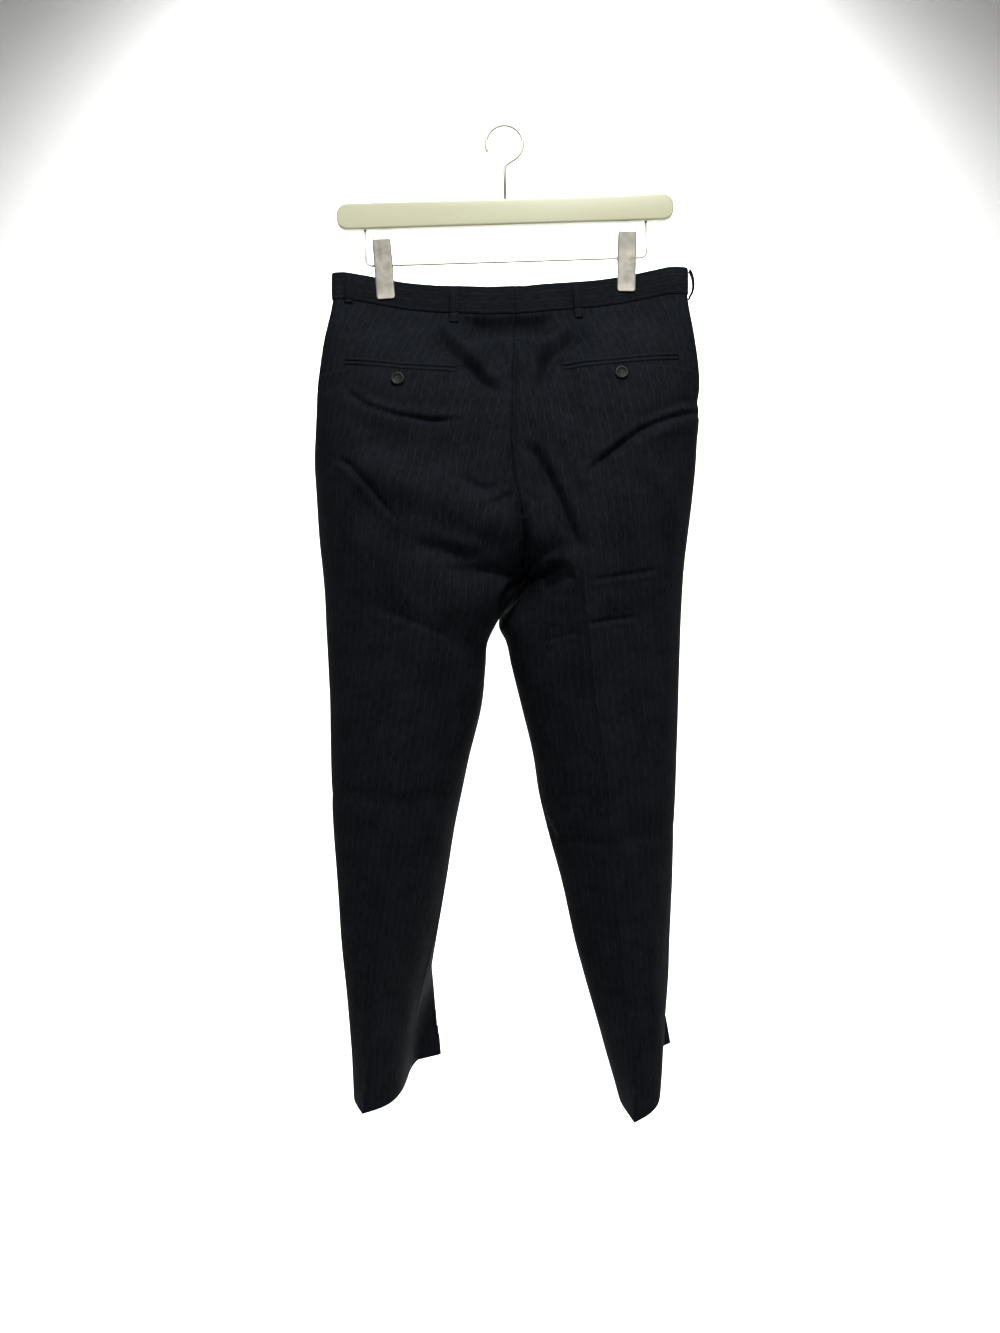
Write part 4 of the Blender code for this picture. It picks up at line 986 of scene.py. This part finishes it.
GRIDS, OUTWARD, CHARTS = cloth_form()
PANELS = make_panels(GRIDS, OUTWARD, CHARTS)
BANDS = make_waistband(GRIDS, OUTWARD)
BACKS = [PANELS["back_left"][0], PANELS["back_right"][0]]
FRONTS = [PANELS["front_left"][0], PANELS["front_right"][0]]
BACK, FRONT = Surface(BACKS), Surface(FRONTS)
WELTS = make_welts(BACK)
FRONT_EDGES = make_front_edges(FRONT)
FLY = make_fly(FRONT)
LOOP_STRIPS = make_loops(Surface([entry[0] for entry in [*PANELS.values(), *BANDS]]))


# ---------------------------------------------------------------- buttons
# A button turned about its axis: radius, height.
BUTTON_PROFILE = (
    (0.0, 1.75), (3.3, 1.8), (4.3, 2.0), (5.0, 2.5), (5.7, 2.95), (6.4, 3.0), (7.05, 2.75), (7.45, 2.2),
    (7.5, 1.6), (7.2, 0.9), (6.4, 0.3), (4.0, 0.2), (0.0, 0.2),
)
BUTTON_FOOT = 6.0       # radius of the ring that rests on the cloth
DISH_RADIUS = 4.6
HOLE_OFFSET = 1.45
HOLE_RADIUS = 0.75
HOLE_HEIGHT = 1.75
THREAD_RADIUS = 0.2


def standing_on(surface, x, z, radius):
    """Where a round thing rests on the cloth: a matrix whose Z leaves the cloth."""
    ring = [(x + radius * math.cos(a), z + radius * math.sin(a)) for a in np.linspace(0, 2 * math.pi, 9)[:-1]]
    hits = [surface.at("back", *spot) for spot in ring]
    normal = unit(np.mean([hit[1] for hit in hits], axis=0))
    centre, _ = surface.at("back", x, z)
    proud = max(0.0, max((hit[0] - centre) @ normal for hit in hits))
    turned = Vector(normal).to_track_quat("Z", "Y").to_matrix().to_4x4()
    return Matrix.Translation(Vector(centre + normal * (proud + 0.4)) * MM) @ turned


def add_rod(bm, place, radius, length, segments):
    """A straight rod about the Z of its place, in millimetres."""
    bmesh.ops.create_cone(bm, cap_ends=True, segments=segments, radius1=radius * MM, radius2=radius * MM,
                          depth=length * MM, matrix=place)


def make_button(half, place):
    """A four-hole button with its thread."""
    bm = bmesh.new()
    verts = [bm.verts.new((r * MM, 0.0, h * MM)) for r, h in BUTTON_PROFILE]
    for first, second in zip(verts[:-1], verts[1:]):
        bm.edges.new((first, second))
    bmesh.ops.spin(bm, geom=bm.verts[:] + bm.edges[:], cent=(0, 0, 0), axis=(0, 0, 1),
                   angle=2 * math.pi, steps=72, use_merge=True)
    bmesh.ops.remove_doubles(bm, verts=bm.verts, dist=1e-6)
    bmesh.ops.transform(bm, matrix=place, verts=bm.verts)
    piece = solid_piece("button_" + half, bm, BUTTON_PLASTIC, ["pocket_button_" + half])
    # The dish's faces take the duller polyester, whose darker colour is painted shade.
    piece.data.materials.append(BUTTON_DISH_WITH_PAINTED_SHADE)
    away = place.inverted()
    for face in piece.data.polygons:
        spot = away @ face.center / MM
        face.material_index = int(spot.z > 1.0 and math.hypot(spot.x, spot.y) < DISH_RADIUS)
    holes, thread = bmesh.new(), bmesh.new()
    for x in (1, -1):
        for y in (1, -1):
            middle = Vector((x * HOLE_OFFSET, y * HOLE_OFFSET, HOLE_HEIGHT)) * MM
            add_rod(holes, place @ Matrix.Translation(middle), HOLE_RADIUS, 0.12, 20)
        for beside in (-0.22, 0.22):
            middle = Vector((x * HOLE_OFFSET + beside, 0.0, 2.0)) * MM
            spot = place @ Matrix.Translation(middle) @ Matrix.Rotation(math.pi / 2, 4, "X")
            add_rod(thread, spot, THREAD_RADIUS, 2 * HOLE_OFFSET, 10)
    # The holes are shallow discs in the dish's finish, darkened by the same painted shade.
    solid_piece("button_holes_" + half, holes, BUTTON_DISH_WITH_PAINTED_SHADE)
    solid_piece("button_thread_" + half, thread, THREAD)


for HALF, (X, Z) in BUTTONS.items():
    make_button(HALF, standing_on(BACK, X, Z, BUTTON_FOOT))


# ---------------------------------------------------------------- stitches
TACK_THREAD = 0.45
ROW_THREAD = 0.4
# Bar tacks as width, height and count of stitches.
POCKET_TACK = (11.0, 1.6, 26)
BUTTONHOLE_SIDE = (17.0, 1.3, 34)
SEAT_TACK = (12.0, 1.2, 26)
FRONT_TACK = (7.0, 1.6, 16)
# Rows of stitches as pitch and length of a stitch.
POCKET_ROW = (3.4, 2.2)
FLY_ROW = (3.2, 2.3)


def add_stitch(bm, surface, face, spots, thickness, sunk):
    """One stitch: a short run of thread between two spots on the cloth."""
    hits = [surface.at(face, *spot) for spot in spots]
    start, end = (Vector(point + normal * thickness * sunk) * MM for point, normal in hits)
    turned = (end - start).to_track_quat("Z", "Y").to_matrix().to_4x4()
    place = Matrix.Translation((start + end) / 2) @ turned
    add_rod(bm, place, thickness / 2, (end - start).length / MM, 6)


def sewn_line(bm, surface, path, pitch, length):
    """A row of stitches in front along a path of x and height."""
    path = np.array(path, float)
    run = run_of(path)
    for start in np.arange(0.0, run[-1] - length, pitch):
        spots = [spots_at(path, run, at) for at in (start, start + length)]
        add_stitch(bm, surface, "front", spots, ROW_THREAD, 0.35)


def satin_bar(bm, surface, face, centre, angle, width, height, count):
    """A bar tack: close parallel stitches over a short line."""
    heading = np.array([math.cos(angle), math.sin(angle)])
    side = np.array([-heading[1], heading[0]])
    for share in np.linspace(-0.5, 0.5, count):
        middle = np.array(centre) + heading * share * width
        spots = [middle + side * reach * height for reach in (-0.5, 0.5)]
        add_stitch(bm, surface, face, spots, TACK_THREAD, 0.4)


def make_stitches():
    """Tacks at the pocket ends, buttonholes, and the rows that show in front."""
    surface = Surface(BACKS + WELTS)
    behind = bmesh.new()
    for half, mouth in POCKETS.items():
        slope = math.atan2(mouth[2][1] - mouth[0][1], mouth[2][0] - mouth[0][0])
        for end in (mouth[0], mouth[2]):
            satin_bar(behind, surface, "back", end, slope + math.pi / 2, *POCKET_TACK)
        x, z = BUTTONS[half]
        for side in (-0.7, 0.7):
            satin_bar(behind, surface, "back", (x + side, z - 5.0), math.pi / 2, *BUTTONHOLE_SIDE)
    satin_bar(behind, surface, "back", (-65.0, -316.5), math.radians(-2), *SEAT_TACK)
    surface = Surface([*FRONTS, FLY, *FRONT_EDGES])
    before = bmesh.new()
    for half, path in FRONT_POCKETS.items():
        inward = 3.4 if half == "left" else -3.4
        sewn_line(before, surface, [(x + inward, z) for x, z in path], *POCKET_ROW)
        for end in path:
            satin_bar(before, surface, "front", end, 0.0, *FRONT_TACK)
    edge = [fly_edge(share) for share in np.linspace(0.0, 0.995, 80)]
    sewn_line(before, surface, [(x + 3.0, z) for x, z in edge], *FLY_ROW)
    return [solid_piece("stitches_back", behind, THREAD),
            solid_piece("stitches_front", before, THREAD)]


STITCHES = make_stitches()


# ---------------------------------------------------------------- hanger
TILT = (Matrix.Translation((0, 0, BAR_CENTRE * MM)) @ Matrix.Rotation(-HANGER_TILT, 4, "Y")
        @ Matrix.Translation((0, 0, -BAR_CENTRE * MM)))


def arc(centre, radius, start, end, count):
    """Points on an arc in the plane of the hanger; angles in degrees from +X towards +Z."""
    return [(centre[0] + radius * math.cos(angle), 0.0, centre[1] + radius * math.sin(angle))
            for angle in np.radians(np.linspace(start, end, count))]


def new_verts(raised):
    return [item for item in raised["geom"] if isinstance(item, bmesh.types.BMVert)]


def make_bar():
    """The bar: a rounded slat with its edges run over by a cutter, then lacquered."""
    half, tall = BAR_LENGTH / 2, BAR_HEIGHT / 2
    bm = bmesh.new()
    verts = []
    for sign_x, sign_z, start in ((1, 1, 0), (-1, 1, 90), (-1, -1, 180), (1, -1, 270)):
        centre = (sign_x * (half - BAR_CORNER), BAR_CENTRE + sign_z * (tall - BAR_CORNER))
        for x, _, z in arc(centre, BAR_CORNER, start, start + 90, 16):
            verts.append(bm.verts.new((x * MM, -BAR_DEPTH / 2 * MM, z * MM)))
    face = bm.faces.new(verts)
    moved = new_verts(bmesh.ops.extrude_face_region(bm, geom=[face]))
    bmesh.ops.translate(bm, vec=(0, BAR_DEPTH * MM, 0), verts=moved)
    rims = [edge for edge in bm.edges if abs(edge.verts[0].co.y - edge.verts[1].co.y) < 1e-6]
    bmesh.ops.bevel(bm, geom=rims, offset=BAR_EDGE * MM, affect="EDGES", segments=6, profile=0.5, material=-1)
    bmesh.ops.transform(bm, matrix=TILT, verts=bm.verts)
    solid_piece("lacquered_bar", bm, LACQUER, ["hanger_bar"])


def make_wire(name, points, diameter, place, node):
    """A round wire with capped ends, through points in millimetres."""
    curve = bpy.data.curves.new(name, "CURVE")
    curve.dimensions = "3D"
    curve.bevel_depth = diameter / 2 * MM
    curve.bevel_resolution = 6
    curve.use_fill_caps = True
    spline = curve.splines.new("POLY")
    spline.points.add(len(points) - 1)
    for knot, point in zip(spline.points, points):
        knot.co = (*(Vector(point) * MM), 1.0)
    shape = bpy.data.objects.new(name, curve)
    bpy.context.scene.collection.objects.link(shape)
    bpy.context.view_layer.update()
    mesh = bpy.data.meshes.new_from_object(shape.evaluated_get(bpy.context.evaluated_depsgraph_get()))
    bpy.data.objects.remove(shape)
    bm = bmesh.new()
    bm.from_mesh(mesh)
    bmesh.ops.remove_doubles(bm, verts=bm.verts, dist=1e-6)
    bmesh.ops.transform(bm, matrix=place, verts=bm.verts)
    solid_piece(name, bm, NICKEL, [node])


def make_hook():
    """The hook, which stands upright over the tilted bar."""
    foot = BAR_CENTRE + BAR_HEIGHT / 2 - HOOK_SOCKET + 0.3
    centre_z = HOOK_WIRE / 2 - HOOK_BEND
    neck = arc((HOOK_SWING, centre_z - HOOK_BEND - HOOK_SWING), HOOK_SWING, 180, 90, 14)
    eye = arc((0.0, centre_z), HOOK_BEND, *HOOK_EYE, 72)
    points = [(0.0, 0.0, foot)] + neck[:9] + eye
    make_wire("wire_hook", points, HOOK_WIRE, Matrix.Identity(4), "hanger_hook")


def make_rail():
    """The wire rail under the bar, with both ends bent up into it."""
    top = BAR_CENTRE - BAR_HEIGHT / 2 + WIRE_SOCKET - 0.3
    corner = RAIL_DROP + RAIL_CORNER
    inside = RAIL_HALF - RAIL_CORNER
    left = arc((-inside, corner), RAIL_CORNER, 180, 270, 16)
    right = arc((inside, corner), RAIL_CORNER, 270, 360, 16)
    points = [(-RAIL_HALF, 0, top)] + left + right + [(RAIL_HALF, 0, top)]
    make_wire("wire_rail", points, RAIL_WIRE, TILT, "hanger_rail")


# A jaw's side view about the rail: height, depth of its face, depth of its flange's back edge.
JAW = (
    (28.5, -12.6, -7.8), (20.0, -11.4, -5.2), (12.0, -10.2, -1.6), (5.0, -9.4, 2.6), (0.0, -9.0, 3.6),
    (-5.6, -8.4, 2.4), (-11.5, -7.8, -4.4), (-22.0, -6.8, -4.4), (-34.0, -5.7, -4.3), (-41.0, -5.4, -4.3),
)
JAW_TOP, JAW_THUMB, JAW_LIP, JAW_END = 28.5, 25.0, -36.0, -41.0
JAW_BEND = 1.6
JAW_PLATE = 1.0
FAR_JAW_SHRINK = 1.5    # how much narrower the far jaw is on each side
PAD_FACE, PAD_THICK, PAD_HEIGHT, PAD_MIDDLE = 3.4, 1.4, 20.0, -28.0
PAD_MARGIN = 5.0


def make_jaw(name, half_width, place, node):
    """A jaw pressed from sheet: a face with a flange turned back along each side."""
    heights = np.concatenate([np.linspace(JAW_TOP, JAW_LIP, 44), np.linspace(JAW_LIP - 1.0, JAW_END, 7)])
    rows = []
    for height in heights:
        face = along(JAW, 1, height)
        back = along(JAW, 2, height)
        lip = max(0.0, (JAW_LIP - height) / (JAW_LIP - JAW_END))
        thumb = max(0.0, (height - JAW_THUMB) / (JAW_TOP - JAW_THUMB))
        width = half_width - 2.0 * (1.0 - math.sqrt(max(0.0, 1.0 - lip ** 2))) - 0.8 * thumb ** 2
        bend = min(JAW_BEND, max(0.3, back - face))
        corner = [(width - bend + bend * math.sin(a), face + bend - bend * math.cos(a))
                  for a in np.linspace(0.0, math.pi / 2, 6)]
        side = [(width, y) for y in np.linspace(face + bend, max(back, face + bend + 0.05), 5)[1:]]
        right = [(x, face) for x in np.linspace(0.0, width - bend, 7)[:-1]] + corner + side
        left = [(-x, y) for x, y in right[::-1][:-1]]
        rows.append([(x, y, height) for x, y in left + right])
    at_place = np.array(place)
    points = np.array(rows) @ at_place[:3, :3].T + at_place[:3, 3] / MM
    outward = at_place[:3, :3] @ np.array([0.0, -1.0, 0.0])
    chart = np.zeros(points.shape[:2] + (2,))
    mesh = sheet_mesh(name, points, chart, np.broadcast_to(outward, points.shape))
    if np.mean([np.array(face.normal) for face in mesh.polygons], axis=0) @ outward < 0:
        mesh.flip_normals()
    thicken(link_piece(name, mesh, NICKEL, [node]), JAW_PLATE)


def make_clips():
    """Two clips on the rail, each a near and a far jaw with its rubber pad."""
    for side, x, lean in CLIPS:
        for jaw, turned, shrink in (("near", 0.0, 0.0), ("far", math.pi, FAR_JAW_SHRINK)):
            place = (TILT @ Matrix.Translation(Vector((x, 0, RAIL_DROP)) * MM)
                     @ Matrix.Rotation(math.radians(lean), 4, "Y") @ Matrix.Rotation(turned, 4, "Z"))
            name = "clip_" + side + "_" + jaw
            make_jaw("pressed_" + name, CLIP_WIDTH / 2 - shrink, place, name)
            bm = bmesh.new()
            pad = Matrix.Translation(Vector((0, -PAD_FACE - PAD_THICK / 2, PAD_MIDDLE)) * MM)
            size = Vector((CLIP_WIDTH - PAD_MARGIN, PAD_THICK, PAD_HEIGHT)) * MM
            bmesh.ops.create_cube(bm, size=1.0, matrix=place @ pad @ Matrix.Diagonal((*size, 1.0)))
            bmesh.ops.bevel(bm, geom=bm.edges[:], offset=0.2 * MM, affect="EDGES", segments=2, profile=0.5)
            solid_piece("pad_" + name, bm, RUBBER)


make_bar()
make_hook()
make_rail()
make_clips()


# ---------------------------------------------------------------- floor and light
SWEEP_FRONT, SWEEP_FLOOR, SWEEP_WALL, SWEEP_TOP = -4200.0, -1750.0, 3200.0, 4200.0
SWEEP_BEND = 900.0
SWEEP_HALF = 6000.0
ROOM_LIGHT = 0.14
# Lights in metres and watts: name, place, aim, size, power, spread in degrees.
LIGHTS = (
    ("key", (0.1, -1.1, 0.85), (0.0, 0.0, -0.4), 0.42, 26.0, 180.0),
    ("right", (1.6, -0.7, -0.2), (0.1, 0.0, -0.7), 0.8, 2.4, 180.0),
    ("left", (-1.6, -0.5, -0.2), (-0.1, 0.0, -0.7), 0.8, 1.4, 180.0),
    ("backdrop", (0.0, 1.4, 2.4), (0.0, 3.1, -0.6), 2.0, 160.0, 95.0),
)


def make_sweep():
    """A floor of matt white paper that curves up into a wall behind."""
    bm = bmesh.new()
    side = [(SWEEP_FRONT, SWEEP_FLOOR), (SWEEP_WALL - SWEEP_BEND, SWEEP_FLOOR)]
    side += [(SWEEP_WALL + SWEEP_BEND * (math.sin(a) - 1), SWEEP_FLOOR + SWEEP_BEND * (1 - math.cos(a)))
             for a in np.linspace(0.0, math.pi / 2, 24)[1:]]
    side.append((SWEEP_WALL, SWEEP_TOP))
    verts = [bm.verts.new(Vector((-SWEEP_HALF, y, z)) * MM) for y, z in side]
    edges = [bm.edges.new(pair) for pair in zip(verts[:-1], verts[1:])]
    moved = new_verts(bmesh.ops.extrude_edge_only(bm, edges=edges))
    bmesh.ops.translate(bm, vec=(2 * SWEEP_HALF * MM, 0, 0), verts=moved)
    bmesh.ops.recalc_face_normals(bm, faces=bm.faces)
    mesh = bpy.data.meshes.new("sweep")
    bm.to_mesh(mesh)
    bm.free()
    mesh.shade_smooth()
    sweep = bpy.data.objects.new("sweep", mesh)
    bpy.context.scene.collection.objects.link(sweep)
    mesh.materials.append(PAPER)


def add_light(name, place, aim, size, power, spread):
    """A large soft area light that the camera doesn't see."""
    data = bpy.data.lights.new(name, "AREA")
    data.shape = "DISK"
    data.size = size
    data.energy = power
    data.spread = math.radians(spread)
    light = bpy.data.objects.new(name, data)
    bpy.context.scene.collection.objects.link(light)
    towards = Vector(aim) - Vector(place)
    light.matrix_world = Matrix.Translation(place) @ towards.to_track_quat("-Z", "Y").to_matrix().to_4x4()
    light.visible_camera = False


def light_stage():
    """Soft room light, a key light high in front, a weak one at each side, one on the backdrop."""
    bpy.context.scene.view_settings.view_transform = "Standard"
    world = bpy.data.worlds.new("room_light")
    bpy.context.scene.world = world
    world.use_nodes = True
    sky = world.node_tree.nodes["Background"]
    sky.inputs["Color"].default_value = linear("#FFFFFF")
    sky.inputs["Strength"].default_value = ROOM_LIGHT
    for light in LIGHTS:
        add_light(*light)


make_sweep()
light_stage()
